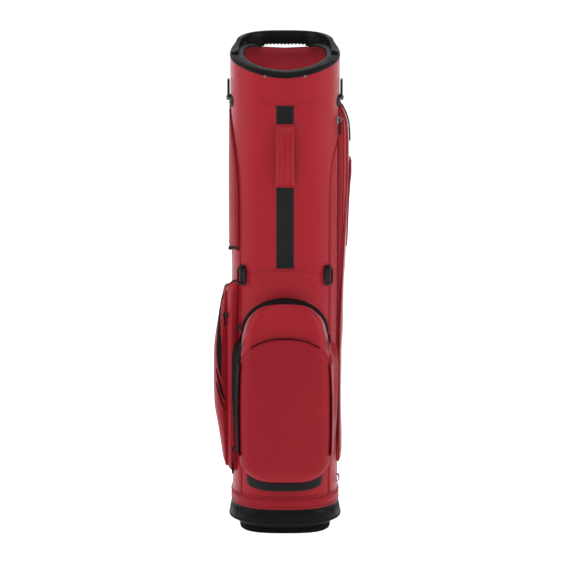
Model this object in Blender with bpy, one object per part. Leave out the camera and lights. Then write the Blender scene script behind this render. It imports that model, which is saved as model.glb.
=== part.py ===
"""A golf stand bag: an oval shell on a hinged foot, with two legs that swing out as the foot tips.

Metres, +Z up. The origin is on the ground, at the middle of the foot. The player's side, with the lift
handle and the ball pocket, faces -Y; the legs are on the +Y side; +X is the right of somebody looking along +Y.
"""

from bisect import bisect_left
from math import asin, atan2, cos, pi, radians, sin, sqrt

import bmesh
import bpy
from mathutils import Matrix, Vector

MM = 0.001
GAP = 0.4 * MM                      # between pieces that touch

# The shell: an oval tube, a little wider and deeper at its mouth.
SHELL_BOTTOM = 69 * MM
SHELL_TOP = 820 * MM
HALF_WIDTH = (92.5 * MM, 95 * MM)   # along X, at the bottom and at the top
HALF_DEPTH = (103.5 * MM, 108 * MM)  # along Y, likewise
SQUARENESS = 2.4                    # of the superellipse: 2 is an ellipse
WALL = 4 * MM
SKIN = 2 * MM                       # thickness of a pocket's fabric and its lining
SKIN_TURN = 0.0034                  # the same along the shell, in turns
SEAMS = (-0.36, -0.14, 0.14, 0.36)  # where the four panels meet, in turns from the middle of the front

# The mouth: the rim's top plane rises towards the legs.
RIM_HEIGHT = 834.5 * MM             # of that plane, above the origin
RIM_SLOPE = 0.11
RIM_RISE = 11 * MM                  # of the rim's sides, above that plane
RIM_LIP = 10 * MM                   # height of the rim's outer face at the front
RIM_LIP_SIDE = 5 * MM               # and at the sides
RIM_DIP = 7 * MM                    # of the rim at the rear
TOTAL_HEIGHT = 866 * MM

# The base and the foot that tips under it.
FOOT_HEIGHT = 12 * MM
FOOT_HINGE = Vector((0, 40 * MM, 20 * MM))

# The legs. Each hinge axis is turned by the splay, so that the feet move out and apart.
LEG_PIVOT = Vector((50 * MM, 124 * MM, 765 * MM))
LEG_LENGTH = 660 * MM
LEG_SPLAY = radians(26)
TUBE_RADIUS = 7 * MM
TUBE_WALL = 1 * MM
PIN_RADIUS = 3 * MM
ROD_RADIUS = 2 * MM
ROD_FOOT = Vector((30 * MM, 118 * MM, 15.5 * MM))
ROD_PIN_BELOW = 184.1 * MM            # the rod's pin, below the leg's pivot
ROD_PIN_INSIDE = 14 * MM            # and towards the middle of the bag, along the leg's axis

SIDES = {"left": -1, "right": 1}

COLOURS = {
    "red_fabric": ((0.42, 0.012, 0.022), 0.55, 0.0),
    "black_fabric": ((0.012, 0.012, 0.013), 0.8, 0.0),
    "black_plastic": ((0.018, 0.019, 0.02), 0.45, 0.0),
    "black_rubber": ((0.012, 0.012, 0.012), 0.75, 0.0),
    "grey_plastic": ((0.2, 0.2, 0.2), 0.4, 0.0),
    "aluminium": ((0.75, 0.76, 0.78), 0.3, 1.0),
    "steel": ((0.55, 0.56, 0.58), 0.3, 1.0),
}


# ---- Blender helpers -------------------------------------------------------------------------------------

def clear_scene():
    for thing in list(bpy.data.objects):
        bpy.data.objects.remove(thing)


def material(slot):
    found = bpy.data.materials.get(slot)
    if found:
        return found
    made = bpy.data.materials.new(slot)
    made.use_nodes = True
    shader = made.node_tree.nodes["Principled BSDF"]
    colour, roughness, metallic = COLOURS[slot]
    shader.inputs["Base Color"].default_value = (*colour, 1)
    shader.inputs["Roughness"].default_value = roughness
    shader.inputs["Metallic"].default_value = metallic
    made.diffuse_color = (*colour, 1)
    return made


def object_from_bmesh(name, mesh_data, slot):
    mesh = bpy.data.meshes.new(name)
    mesh_data.to_mesh(mesh)
    mesh_data.free()
    thing = bpy.data.objects.new(name, mesh)
    bag.objects.link(thing)
    mesh.materials.append(material(slot))
    return thing


def loft(name, rings, slot, closed=False):
    """A solid through rings of points, capped at its two ends or, if closed, joined end to end."""
    shape = bmesh.new()
    rows = [[shape.verts.new(point) for point in ring] for ring in rings]
    pairs = list(zip(rows, rows[1:]))
    if closed:
        pairs.append((rows[-1], rows[0]))
    for low, high in pairs:
        for i in range(len(low)):
            j = (i + 1) % len(low)
            shape.faces.new((low[i], low[j], high[j], high[i]))
    if not closed:
        shape.faces.new(rows[0])
        shape.faces.new(rows[-1])
    bmesh.ops.triangulate(shape, faces=[f for f in shape.faces if len(f.verts) > 4])
    bmesh.ops.recalc_face_normals(shape, faces=shape.faces)
    return object_from_bmesh(name, shape, slot)


def box(name, size, centre, slot, turn=None):
    shape = bmesh.new()
    bmesh.ops.create_cube(shape, size=1)
    bmesh.ops.scale(shape, vec=size, verts=shape.verts)
    if turn:
        bmesh.ops.rotate(shape, matrix=turn, verts=shape.verts)
    bmesh.ops.translate(shape, vec=centre, verts=shape.verts)
    return object_from_bmesh(name, shape, slot)


def rod(name, radius, start, end, slot, sides=16, end_radius=None):
    """A cylinder, or a cone if end_radius is given, from start to end."""
    start, end = Vector(start), Vector(end)
    along = end - start
    shape = bmesh.new()
    bmesh.ops.create_cone(
        shape, cap_ends=True, segments=sides, radius1=radius,
        radius2=radius if end_radius is None else end_radius, depth=along.length,
    )
    turn = Vector((0, 0, 1)).rotation_difference(along).to_matrix().to_4x4()
    bmesh.ops.transform(shape, matrix=Matrix.Translation((start + end) / 2) @ turn, verts=shape.verts)
    return object_from_bmesh(name, shape, slot)


def combine(thing, tools, operation):
    """thing joined with, or cut by, each of the tools, which are then removed."""
    for tool in tools:
        modifier = thing.modifiers.new(operation, "BOOLEAN")
        modifier.operation = operation
        modifier.object = tool
        bpy.context.view_layer.update()
        evaluated = thing.evaluated_get(bpy.context.evaluated_depsgraph_get())
        mesh = bpy.data.meshes.new_from_object(evaluated)
        thing.modifiers.clear()
        thing.data = mesh
        bpy.data.objects.remove(tool)
    return thing


def set_pivot(thing, point):
    """Moves the object's origin to a point, and leaves its mesh where it is."""
    thing.data.transform(Matrix.Translation(-point))
    thing.location = point


def wire(name, points, radius, slot, cyclic=False):
    """A tube of that radius along straight runs between points, as a welded mesh."""
    curve = bpy.data.curves.new(name, "CURVE")
    curve.dimensions = "3D"
    curve.bevel_depth = radius
    curve.bevel_resolution = 2
    curve.use_fill_caps = True
    spline = curve.splines.new("POLY")
    spline.points.add(len(points) - 1)
    for place, point in zip(spline.points, points):
        place.co = (*point, 1)
    spline.use_cyclic_u = cyclic
    guide = bpy.data.objects.new(name + "_guide", curve)
    bag.objects.link(guide)
    bpy.context.view_layer.update()
    mesh = bpy.data.meshes.new_from_object(guide.evaluated_get(bpy.context.evaluated_depsgraph_get()))
    shape = bmesh.new()
    shape.from_mesh(mesh)
    bmesh.ops.remove_doubles(shape, verts=shape.verts, dist=0.01 * MM)
    bmesh.ops.recalc_face_normals(shape, faces=shape.faces)
    bpy.data.objects.remove(guide)
    bpy.data.meshes.remove(mesh)
    return object_from_bmesh(name, shape, slot)


# ---- The shell's surface ---------------------------------------------------------------------------------

def spread(low, high, steps):
    """steps + 1 values from low to high."""
    return [low + (high - low) * i / steps for i in range(steps + 1)]


def superellipse(angle, a, b, squareness=SQUARENESS):
    """A point on an oval, the angle counted from the front (-Y) towards +X."""
    s, c = sin(angle), cos(angle)
    power = 2 / squareness
    return (a * abs(s) ** power * (1 if s >= 0 else -1), -b * abs(c) ** power * (1 if c >= 0 else -1))


def arc_table(steps=1440):
    """Angles round the oval, and the share of its length up to each."""
    angles = spread(0, 2 * pi, steps)
    points = [superellipse(angle, HALF_WIDTH[1], HALF_DEPTH[1]) for angle in angles]
    lengths = [0.0]
    for (x0, y0), (x1, y1) in zip(points, points[1:]):
        lengths.append(lengths[-1] + sqrt((x1 - x0) ** 2 + (y1 - y0) ** 2))
    return angles, [length / lengths[-1] for length in lengths]


ANGLES, SHARES = arc_table()


def angle_at(turn):
    """The oval's angle at a share of its length from the middle of the front; negative is to the left."""
    share = turn % 1
    i = min(max(bisect_left(SHARES, share), 1), len(SHARES) - 1)
    part = (share - SHARES[i - 1]) / (SHARES[i] - SHARES[i - 1])
    return ANGLES[i - 1] + (ANGLES[i] - ANGLES[i - 1]) * part


def between(pair, z):
    return pair[0] + (pair[1] - pair[0]) * z / SHELL_TOP


def on_shell(turn, z, out=0.0):
    """The point at that turn and height, the given distance outside the shell's outer face."""
    x, y = superellipse(angle_at(turn), between(HALF_WIDTH, z) + out, between(HALF_DEPTH, z) + out)
    return Vector((x, y, z))


def turn_at_x(x, z, front=True):
    """The turn where the shell's front, or its rear, passes that x."""
    share = (abs(x) / between(HALF_WIDTH, z)) ** (SQUARENESS / 2)
    angle = asin(min(share, 1))
    i = bisect_left(ANGLES, angle)
    turn = SHARES[i] if front else 0.5 - SHARES[i]
    return turn if x >= 0 else -turn


def outward(turn, z):
    """The horizontal normal of the shell's outer face."""
    step = 0.002
    along = on_shell(turn + step, z) - on_shell(turn - step, z)
    return Vector((along.y, -along.x, 0)).normalized()


def sideways(x, y):
    """How far round from the front or the rear a point is: 0 there, and 1 at the two sides."""
    across, along = (abs(x) / HALF_WIDTH[1]) ** SQUARENESS, (abs(y) / HALF_DEPTH[1]) ** SQUARENESS
    return (across / (across + along)) ** 0.62


def rim_height(x, y, above=0.0):
    return RIM_HEIGHT + RIM_SLOPE * y + RIM_RISE * sideways(x, y) + above


def ramp(value, start, end):
    """0 before start, 1 after end, and straight in between."""
    return min(max((value - start) / (end - start), 0.0), 1.0)


def at_rim(turn, out, above):
    """A point by the mouth, measured from the rim's top, which dips under the grab handle."""
    point = on_shell(turn, SHELL_TOP, out)
    dip = RIM_DIP * ramp(abs(turn % 1 - 0.5), 0.092, 0.066)
    point.z = rim_height(point.x, point.y, above) - dip
    return point


def rim_lip(turn):
    """The height of the rim's outer face: it narrows towards the sides, and stays narrow behind them."""
    point = on_shell(turn, SHELL_TOP)
    share = sideways(point.x, point.y) if point.y < 0 else 1.0
    return RIM_LIP + (RIM_LIP_SIDE - RIM_LIP) * share


def crescent(turns, z, inner, outer):
    """A closed ring round a piece that lies on the shell: its outer face, then its inner face back again."""
    outside = [on_shell(turn, z, out) for turn, out in zip(turns, outer)]
    inside = [on_shell(turn, z, out) for turn, out in zip(turns, inner)]
    return outside + inside[::-1]


def bulge(u, squareness):
    """From 0 at u = -1 and 1 to 1 in the middle: the larger the squareness, the flatter the middle."""
    return max(0.0, 1 - abs(u) ** squareness) ** (1 / squareness)


def pocket(name, rows, slot, steps=10, squareness=5.0, edge=2 * MM):
    """A pocket on the shell. Each row is (z, first turn, last turn, inner face, outer face).

    A deep one is a skin, open at the back where the piece behind it closes it.
    """
    rings = []
    hollow = max(outer - inner for _, _, _, inner, outer in rows) > 6 * MM
    for row, (z, first, last, inner, outer) in enumerate(rows):
        shares = [sin(pi / 2 * v) for v in spread(-1, 1, steps)]
        turns = [first + (last - first) * (u + 1) / 2 for u in shares]
        rise = [inner + edge + (outer - inner - edge) * bulge(u, squareness) for u in shares]
        skin = [on_shell(turn, z, out) for turn, out in zip(turns, rise)]
        inside = first + SKIN_TURN, last - SKIN_TURN
        turns = [inside[0] + (inside[1] - inside[0]) * (u + 1) / 2 for u in shares]
        back = [inner] * len(turns)
        if hollow and 0 < row < len(rows) - 1:
            back[1:-1] = [max(inner, out - SKIN) for out in rise[1:-1]]
        lining = [on_shell(turn, z, out) for turn, out in zip(turns, back)]
        rings.append([on_shell(first, z, inner), *skin, on_shell(last, z, inner), *lining[::-1]])
    return loft(name, rings, slot)


# ---- Shell and mouth -------------------------------------------------------------------------------------

def make_panels():
    """The four sewn panels of the shell, each from the base to the sloping rim."""
    names = ("left_panel", "front_panel", "right_panel", "rear_panel")
    edges = (*SEAMS, SEAMS[0] + 1)
    for name, first, last in zip(names, edges, edges[1:]):
        if name == "left_panel":
            first, last = SEAMS[0], SEAMS[1]
        seam = 0.0004
        steps = 14 if name == "rear_panel" else 10
        turns = spread(first + seam, last - seam, steps)
        inner, outer = [-WALL] * (steps + 1), [0] * (steps + 1)
        rings = [crescent(turns, z, inner, outer) for z in (SHELL_BOTTOM, 300 * MM, 560 * MM)]
        drop = 3.5 * GAP if name == "rear_panel" else 2.5 * GAP
        top = [at_rim(turn, 0, -drop - rim_lip(turn)) for turn in turns]
        top += [at_rim(turn, -WALL, -drop - rim_lip(turn)) for turn in turns[::-1]]
        loft(name, [*rings, top], "red_fabric")


def make_cuff():
    """The moulded rim: a wide lip on top of the shell, and a sleeve down inside it."""
    rings = []
    for turn in spread(0, 1, 40)[:-1]:
        lip = rim_lip(turn) / MM
        section = (
            (1, -lip), (1, -3), (-1.5, -0.5), (-19, 0), (-22.5, -2.5), (-23, -14),
            (-9, -19), (-9, -34), (-4.6, -34), (-4.6, -lip),
        )
        rings.append([at_rim(turn, out * MM, above * MM) for out, above in section])
    loft("top_cuff", rings, "black_plastic", closed=True)


def handle_plan(share):
    """The grab handle's middle line in plan, from the left end (-1) round the rear to the right end (1)."""
    x, y = superellipse(share * radians(93), 84 * MM, 136 * MM, 2.6)
    return x, -y


def make_cuff_handle():
    """The grab handle: it rises from the rim's two sides and bows out past its rear, where a hand goes in."""
    rings = []
    for share in spread(-1, 1, 36):
        x, y = handle_plan(share)
        ahead, behind = handle_plan(share + 0.01), handle_plan(share - 0.01)
        side = Vector((behind[1] - ahead[1], ahead[0] - behind[0], 0)).normalized()
        middle = 1 - abs(share) ** 3
        half = (3.0 + 2.5 * middle) * MM
        web = 20 * MM * ramp(abs(x), 49 * MM, 56 * MM) * ramp(abs(x), 80 * MM, 72 * MM)
        low = rim_height(x, y, 2 * GAP) - 6 * MM * ramp(abs(x), 52 * MM, 40 * MM)
        full = TOTAL_HEIGHT - 7 * MM * (1 - middle)
        high = low + 5 * MM + (full - low - 5 * MM) * ramp(1 - abs(share), 0.0, 0.26)
        flare = 8 * MM * ramp(abs(share), 0.72, 1.0)
        ring = []
        for out, z in ((-half - web, low), (half + flare, low), (half, high - 2 * MM), (0.5 * half, high),
                       (-0.5 * half, high), (-half, high - 2 * MM), (-half, low + 2.8 * MM),
                       (-half - web, low + 2.4 * MM)):
            ring.append(Vector((x, y, z)) + side * out)
        rings.append(ring)
    loft("cuff_handle", rings, "black_plastic")


def make_cuff_rivets():
    for side, sign in SIDES.items():
        turn = turn_at_x(sign * 34 * MM, SHELL_TOP)
        start = at_rim(turn, 1 * MM + GAP, 3.6 * MM - rim_lip(turn))
        end = start + outward(turn, SHELL_TOP) * 1.4 * MM
        rod(f"cuff_rivet_{side}", 3 * MM, start, end, "grey_plastic", 12)


def make_dividers():
    """A cross of bars below the rim makes four ways in, with sheets under it down to the base."""
    top, deep, floor = 792 * MM, 14 * MM, 84 * MM
    reach_y, reach_x = 97 * MM, 84 * MM
    for name, thick, low, high in (("divider_bars", 8 * MM, top - deep, top),
                                   ("divider_sheets", 2 * MM, floor, top - deep - GAP)):
        middle = (low + high) / 2
        long_arm = box(name, (thick, 2 * reach_y, high - low), (0, 0, middle), "black_fabric")
        cross_arm = box("cross_arm", (2 * reach_x, thick, high - low), (0, 0, middle), "black_fabric")
        combine(long_arm, [cross_arm], "UNION")


def make_stays():
    """Fibreglass stays inside the shell hold the mouth above the base."""
    for side, sign in SIDES.items():
        low = on_shell(sign * 0.13, 88 * MM, -7.5 * MM)
        high = on_shell(sign * 0.13, 786 * MM, -7.5 * MM)
        rod(f"stay_rod_{side}", 2.5 * MM, low, high, "grey_plastic", 8)


# ---- Base and foot ---------------------------------------------------------------------------------------

def oval_ring(a, b, z, squareness=SQUARENESS, count=36):
    return [
        Vector((*superellipse(2 * pi * i / count, a * MM, b * MM, squareness), z * MM))
        for i in range(count)
    ]


def make_base_cup():
    """The moulded base: a skirt, the floor that club grips stand on, and a sleeve up inside the shell."""
    profile = (
        (86, 95, 12.4), (88, 97, 19.9), (99.2, 109.4, 20), (93.2, 104.4, 46),
        (87.9, 99.2, 46), (88.0, 99.3, 76), (85.2, 96.4, 76), (85.0, 96.2, 38),
    )
    cup = loft("base_cup", [oval_ring(*row) for row in profile], "black_plastic")
    rear = [Vector((x * MM, 28 * MM, 0)) for x in (-86, 86)]
    cavity_plan = [p for p in oval_ring(91, 101, 0) if p.y > 30 * MM]
    cavity_plan = sorted(cavity_plan, key=lambda p: -atan2(p.x, p.y)) + rear
    cavity = loft("cavity", [[p + Vector((0, 0, z * MM)) for p in cavity_plan] for z in (0, 31)], "black_plastic")
    notch = box("notch", (84 * MM, 40 * MM, 40 * MM), (0, 104 * MM, 16 * MM), "black_plastic")
    combine(cup, [cavity, notch], "DIFFERENCE")
    for sign in SIDES.values():
        place = Vector((sign * 61.5 * MM, FOOT_HINGE.y, FOOT_HINGE.z))
        lug = box("lug", (10 * MM, 14 * MM, 14 * MM), place + Vector((0, 0, 7 * MM)), "black_plastic")
        end = rod("end", 7.5 * MM, place - Vector((5 * MM, 0, 0)), place + Vector((5 * MM, 0, 0)), "black_plastic", 24)
        combine(cup, [lug, end], "UNION")
    start = FOOT_HINGE - Vector((72 * MM, 0, 0))
    bore = rod("bore", PIN_RADIUS + 0.4 * MM, start, start + Vector((144 * MM, 0, 0)), "black_plastic")
    combine(cup, [bore], "DIFFERENCE")


def make_base_band():
    """The red trim between the skirt and the shell, slightly proud of both."""
    rows = ((-4.2, 46.4), (0.6, 46.4), (2.0, 51), (2.0, 63), (0.6, 68.6), (-4.2, 68.6))
    turns = spread(0, 1, 40)[:-1]
    rings = [[on_shell(turn, z * MM, out * MM) for out, z in rows] for turn in turns]
    loft("base_band", rings, "red_fabric", closed=True)


def make_foot():
    """The plate that stays flat on the ground as the bag leans; its tongue at the rear lifts the rods."""
    plate = loft(
        "foot_plate",
        [oval_ring(79, 89, 0, 3), oval_ring(80, 90, 2, 3), oval_ring(80, 90, 12, 3)],
        "black_rubber",
    )
    tongue = box("tongue", (72 * MM, 50 * MM, 8 * MM), (0, 99 * MM, 7 * MM), "black_rubber")
    boss = box("boss", (44 * MM, 13 * MM, 12 * MM), (0, 117.5 * MM, 14.5 * MM), "black_rubber")
    knuckle_web = box("web", (110 * MM, 13 * MM, 12 * MM), (0, 40 * MM, 15 * MM), "black_rubber")
    barrel = rod("barrel", 8 * MM, FOOT_HINGE - Vector((55 * MM, 0, 0)), FOOT_HINGE + Vector((55 * MM, 0, 0)),
                 "black_rubber")
    combine(plate, [tongue, boss, knuckle_web, barrel], "UNION")
    bore = rod("bore", PIN_RADIUS + 0.4 * MM, FOOT_HINGE - Vector((60 * MM, 0, 0)),
               FOOT_HINGE + Vector((60 * MM, 0, 0)), "black_rubber")
    combine(plate, [bore], "DIFFERENCE")
    for sign in SIDES.values():
        mouth = Vector((sign * 30 * MM, ROD_FOOT.y, ROD_FOOT.z))
        hole = rod("hole", ROD_RADIUS + 1.2 * MM, mouth, mouth - Vector((sign * 22 * MM, 0, 0)), "black_rubber")
        combine(plate, [hole], "DIFFERENCE")
    set_pivot(plate, FOOT_HINGE)
    rod("foot_hinge_pin", PIN_RADIUS, FOOT_HINGE - Vector((66 * MM, 0, 0)), FOOT_HINGE + Vector((66 * MM, 0, 0)),
        "steel")


# ---- Legs and push rods ----------------------------------------------------------------------------------

def mirrored(point, sign):
    return Vector((sign * point.x, point.y, point.z))


def leg_axis(sign):
    """The hinge axis, pointing to +X, of the leg on that side."""
    return Vector((cos(LEG_SPLAY), -sign * sin(LEG_SPLAY), 0))


def turned_to(axis):
    """The rotation that carries X to a horizontal axis."""
    return Matrix.Rotation(atan2(axis.y, axis.x), 3, "Z")


def shell_core(low, high, out):
    """A solid that fills the shell between two heights, for cutting what reaches into it."""
    turns = spread(0, 1, 64)[:-1]
    return loft("core", [[on_shell(turn, z, out) for turn in turns] for z in (low, high)], "black_plastic")


def make_leg_bracket():
    """The bracket under the rim, with a pair of ears for each leg."""
    turns = spread(0.5 - 0.125, 0.5 + 0.125, 10)
    rings = [crescent(turns, z * MM, [-2 * MM] * 11, [5 * MM] * 11) for z in (742, 790)]
    bracket = loft("leg_bracket", rings, "black_plastic")
    for sign in SIDES.values():
        pivot, axis = mirrored(LEG_PIVOT, sign), leg_axis(sign)
        outwards = axis.cross(Vector((0, 0, -1)))
        angles = spread(-pi / 2, pi / 2, 8)
        outline = [(-45 * MM, -10 * MM)]
        outline += [(10 * MM * cos(angle), 10 * MM * sin(angle)) for angle in angles]
        outline += [(-45 * MM, 10 * MM)]
        for offset in (-8.7 * MM, 8.7 * MM):
            rings = []
            for depth in (offset - 1.8 * MM, offset + 1.8 * MM):
                rings.append([pivot + axis * depth + outwards * out + Vector((0, 0, up)) for out, up in outline])
            combine(bracket, [loft("ear", rings, "black_plastic")], "UNION")
        bore = rod("bore", PIN_RADIUS + 0.4 * MM, pivot - axis * 16 * MM, pivot + axis * 16 * MM, "black_plastic")
        combine(bracket, [bore], "DIFFERENCE")
    combine(bracket, [shell_core(700 * MM, 815 * MM, 0.5 * MM)], "DIFFERENCE")


def make_leg(side, sign):
    pivot, axis = mirrored(LEG_PIVOT, sign), leg_axis(sign)
    down = Vector((0, 0, -1))
    head = rod(f"leg_{side}_head", 9.5 * MM, pivot + down * 38 * MM, pivot + down * 12.5 * MM, "black_plastic")
    neck = box("neck", (11.4 * MM, 14 * MM, 17 * MM), pivot + down * 8.5 * MM, "black_plastic", turned_to(axis))
    barrel = rod("barrel", 8.5 * MM, pivot - axis * 6.3 * MM, pivot + axis * 6.3 * MM, "black_plastic")
    combine(head, [neck, barrel], "UNION")
    socket = rod("socket", TUBE_RADIUS + GAP, pivot + down * 39 * MM, pivot + down * 20 * MM, "black_plastic")
    bore = rod("bore", PIN_RADIUS + GAP, pivot - axis * 10 * MM, pivot + axis * 10 * MM, "black_plastic")
    combine(head, [socket, bore], "DIFFERENCE")
    rod(f"leg_{side}_pin", PIN_RADIUS, pivot - axis * 12.5 * MM, pivot + axis * 12.5 * MM, "steel", 12)

    tube_top, tube_end = pivot + down * 20.6 * MM, pivot + down * (LEG_LENGTH - 12 * MM)
    tube = rod(f"leg_{side}_tube", TUBE_RADIUS, tube_top, tube_end, "aluminium")
    hollow = rod("hollow", TUBE_RADIUS - TUBE_WALL, tube_top - down * MM, tube_end + down * MM, "aluminium")
    combine(tube, [hollow], "DIFFERENCE")
    tip = rod(f"leg_{side}_tip", 9.5 * MM, pivot + down * (LEG_LENGTH - 45 * MM),
              pivot + down * LEG_LENGTH, "black_rubber", end_radius=11 * MM)
    tip_bore = rod("bore", TUBE_RADIUS + GAP, pivot + down * (LEG_LENGTH - 50 * MM),
                   pivot + down * (LEG_LENGTH - 11.5 * MM), "black_rubber")
    combine(tip, [tip_bore], "DIFFERENCE")

    place = pivot + down * ROD_PIN_BELOW
    inward = -axis * sign
    clip = rod(f"leg_{side}_clip", 11 * MM, place - down * 10 * MM, place + down * 10 * MM, "black_plastic")
    pin = rod("pin", 2 * MM, place + inward * 9 * MM, place + inward * 17 * MM, "black_plastic", 12)
    pin_head = rod("head", 6.5 * MM, place + inward * 16.6 * MM, place + inward * 18.6 * MM, "black_plastic", 12)
    combine(clip, [pin, pin_head], "UNION")
    clip_bore = rod("bore", TUBE_RADIUS + GAP, place - down * 12 * MM, place + down * 12 * MM, "black_plastic")
    combine(clip, [clip_bore], "DIFFERENCE")
    for piece in (head, tube, tip, clip):
        set_pivot(piece, pivot)


def slot_outline(length, radius, bottom):
    """A stadium in the plane of x and z: two half circles, the lower one's centre at bottom."""
    half = 7
    low = [(radius * cos(pi + pi * i / half), bottom + radius * sin(pi + pi * i / half)) for i in range(half + 1)]
    high = [(radius * cos(pi * i / half), bottom + length + radius * sin(pi * i / half)) for i in range(half + 1)]
    return low + high


def make_push_rod(side, sign):
    """The wire from the foot's tongue up to the leg. Its slotted end takes up what a straight link can't."""
    pivot, axis = mirrored(LEG_PIVOT, sign), leg_axis(sign)
    foot = mirrored(ROD_FOOT, sign)
    pin = pivot + Vector((0, 0, -ROD_PIN_BELOW)) - axis * sign * ROD_PIN_INSIDE
    up = (pin - foot).normalized()
    across = axis.cross(up).normalized()
    normal = up.cross(across).normalized()
    slot_low, slot_high = -8.0 * MM, 1.0 * MM
    plates = []
    for radius, thick in ((7 * MM, 1.5 * MM), (3.6 * MM, 4 * MM)):
        outline = slot_outline(slot_high - slot_low, radius, slot_low)
        rings = [[pin + across * x + up * z + normal * depth for x, z in outline] for depth in (-thick, thick)]
        plates.append(loft(f"rod_{side}", rings, "steel"))
    eye = plates[0]
    combine(eye, [plates[1]], "DIFFERENCE")
    inner_end = foot - Vector((sign * 19 * MM, 0, 0))
    stem = wire("stem", [inner_end, foot, pin + up * (slot_low - 5.4 * MM)], ROD_RADIUS, "steel")
    combine(eye, [stem], "UNION")
    eye.name = f"push_rod_{side}"
    set_pivot(eye, foot)


# ---- Pockets ---------------------------------------------------------------------------------------------

BALL_ROWS = (                       # height, half width outside and at the shell, depth: in millimetres
    (105, 70, 66, 28), (108, 79, 74, 38), (116, 84, 78, 44), (140, 86, 79, 47), (200, 86, 79, 48),
    (270, 86, 79, 47.5), (318, 85, 79, 46), (345, 80, 76, 44), (357, 73, 72, 41), (372, 68.5, 68.5, 38),
    (386, 62, 62, 36), (402, 52, 52, 33.5), (411, 40, 40, 31.5), (417, 22, 22, 30),
)
FRONT_ROWS = (                      # likewise, of the flat pocket on its face: height, half width, thickness
    (110, 60, 4), (113, 70, 5.5), (122, 78, 7), (150, 81, 7.5), (240, 82, 8), (305, 80, 7.5),
    (330, 73, 7), (343, 58, 6.5), (352, 42, 6), (358, 22, 5),
)
BALL_CORNER = 4.5                   # squareness of the ball pocket's front in plan


def between_rows(rows, z, column):
    """The value in that column at height z, on straight lines between the rows."""
    heights = [row[0] * MM for row in rows]
    i = min(max(bisect_left(heights, z), 1), len(heights) - 1)
    part = (z - heights[i - 1]) / (heights[i] - heights[i - 1])
    return (rows[i - 1][column] + (rows[i][column] - rows[i - 1][column]) * part) * MM


def ball_front(x, z):
    """The ball pocket's front face at x and z, as a y."""
    half, inside = between_rows(BALL_ROWS, z, 1), between_rows(BALL_ROWS, z, 2)
    side = -on_shell(turn_at_x(inside, z), z).y + 6 * MM
    front = between(HALF_DEPTH, z) + between_rows(BALL_ROWS, z, 3)
    return -(side + (front - side) * bulge(min(abs(x) / half, 1), BALL_CORNER))


def make_ball_pocket():
    """The deep pocket low on the front, a skin open towards the shell, and the flat pocket on its face."""
    rings = []
    shares = [sin(pi / 2 * v) for v in spread(-1, 1, 16)]
    for row, (z, half, inside, _) in enumerate(BALL_ROWS):
        height, half, inside = z * MM, half * MM, inside * MM
        edges = [on_shell(turn_at_x(x, height), height, 1.2 * MM) for x in (-inside, inside)]
        skin = [Vector((half * u, ball_front(half * u, height), height)) for u in shares]
        lining = [on_shell(turn_at_x((inside - SKIN) * u, height), height, 1.2 * MM) for u in shares]
        if 0 < row < len(BALL_ROWS) - 1:
            for i, u in list(enumerate(shares))[1:-1]:
                x = (half - SKIN) * u
                lining[i] = Vector((x, ball_front(half * u, height) + SKIN, height))
        rings.append([edges[0], *skin, edges[1], *lining[::-1]])
    loft("ball_pocket", rings, "red_fabric")
    rings = []
    for z, half, thick in FRONT_ROWS:
        shares = [sin(pi / 2 * v) for v in spread(-1, 1, 14)]
        inner = [Vector((half * MM * u, ball_front(half * MM * u, z * MM) - 2.5 * MM, z * MM)) for u in shares]
        outer = [
            point - Vector((0, (1.5 + (thick - 1.5) * bulge(u, 4.0)) * MM, 0))
            for point, u in zip(inner, shares)
        ]
        rings.append(outer + inner[::-1])
    loft("ball_pocket_front", rings, "red_fabric")


ARCH_CENTRE = Vector((0, -75.1 * MM, 361.1 * MM))  # of the zip's arc over the ball pocket
ARCH_TILT = radians(31)             # the arc's plane leans forward, so that the arc stays by the shell
ARCH_RADIUS = 74.5 * MM
ARCH_END = radians(88)              # from the top, either way


def arch_way(angle):
    """The direction outwards from the arc's centre, at an angle from the top: positive is to the right."""
    return Vector((sin(angle), -cos(angle) * sin(ARCH_TILT), cos(angle) * cos(ARCH_TILT)))


def make_ball_gusset():
    """The zipped black strip along the top edge of the ball pocket."""
    rings = []
    for angle in spread(-ARCH_END, ARCH_END, 24):
        reach = (21 - 9 * abs(angle / ARCH_END) ** 3) * MM
        ring = []
        for radius, forward in ((0, 0), (0, reach), (1.6 * MM, reach), (1.6 * MM, 0)):
            point = ARCH_CENTRE + arch_way(angle) * (ARCH_RADIUS + radius)
            point.y = on_shell(turn_at_x(point.x, point.z), point.z).y - 1.4 * MM - forward
            ring.append(point)
        rings.append(ring)
    loft("ball_zip_gusset", rings, "black_fabric")


LEFT_LOWER_ROWS = (                 # height, first and last turn, and depth in millimetres
    (104, -0.335, -0.180, 4), (109, -0.345, -0.170, 9), (122, -0.35, -0.165, 12), (300, -0.35, -0.163, 12.5),
    (405, -0.35, -0.163, 12.3), (420, -0.35, -0.163, 11.5), (430, -0.348, -0.163, 8.5), (440, -0.34, -0.165, 5),
    (447, -0.32, -0.17, 2.6),
)
LEFT_OUTER_ROWS = (                 # likewise, with the inner face's depth before the outer face's
    (111, -0.325, -0.2, 11.6, 13.2), (122, -0.33, -0.195, 13.2, 17), (144, -0.335, -0.192, 13.6, 20.5),
    (180, -0.337, -0.19, 13.6, 26), (223, -0.338, -0.19, 13.8, 32), (270, -0.338, -0.19, 13.8, 33),
    (317, -0.338, -0.19, 13.8, 32), (363, -0.337, -0.19, 13.6, 26.5), (408, -0.333, -0.193, 13.4, 18.5),
    (424, -0.32, -0.2, 12.8, 15),
)
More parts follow.
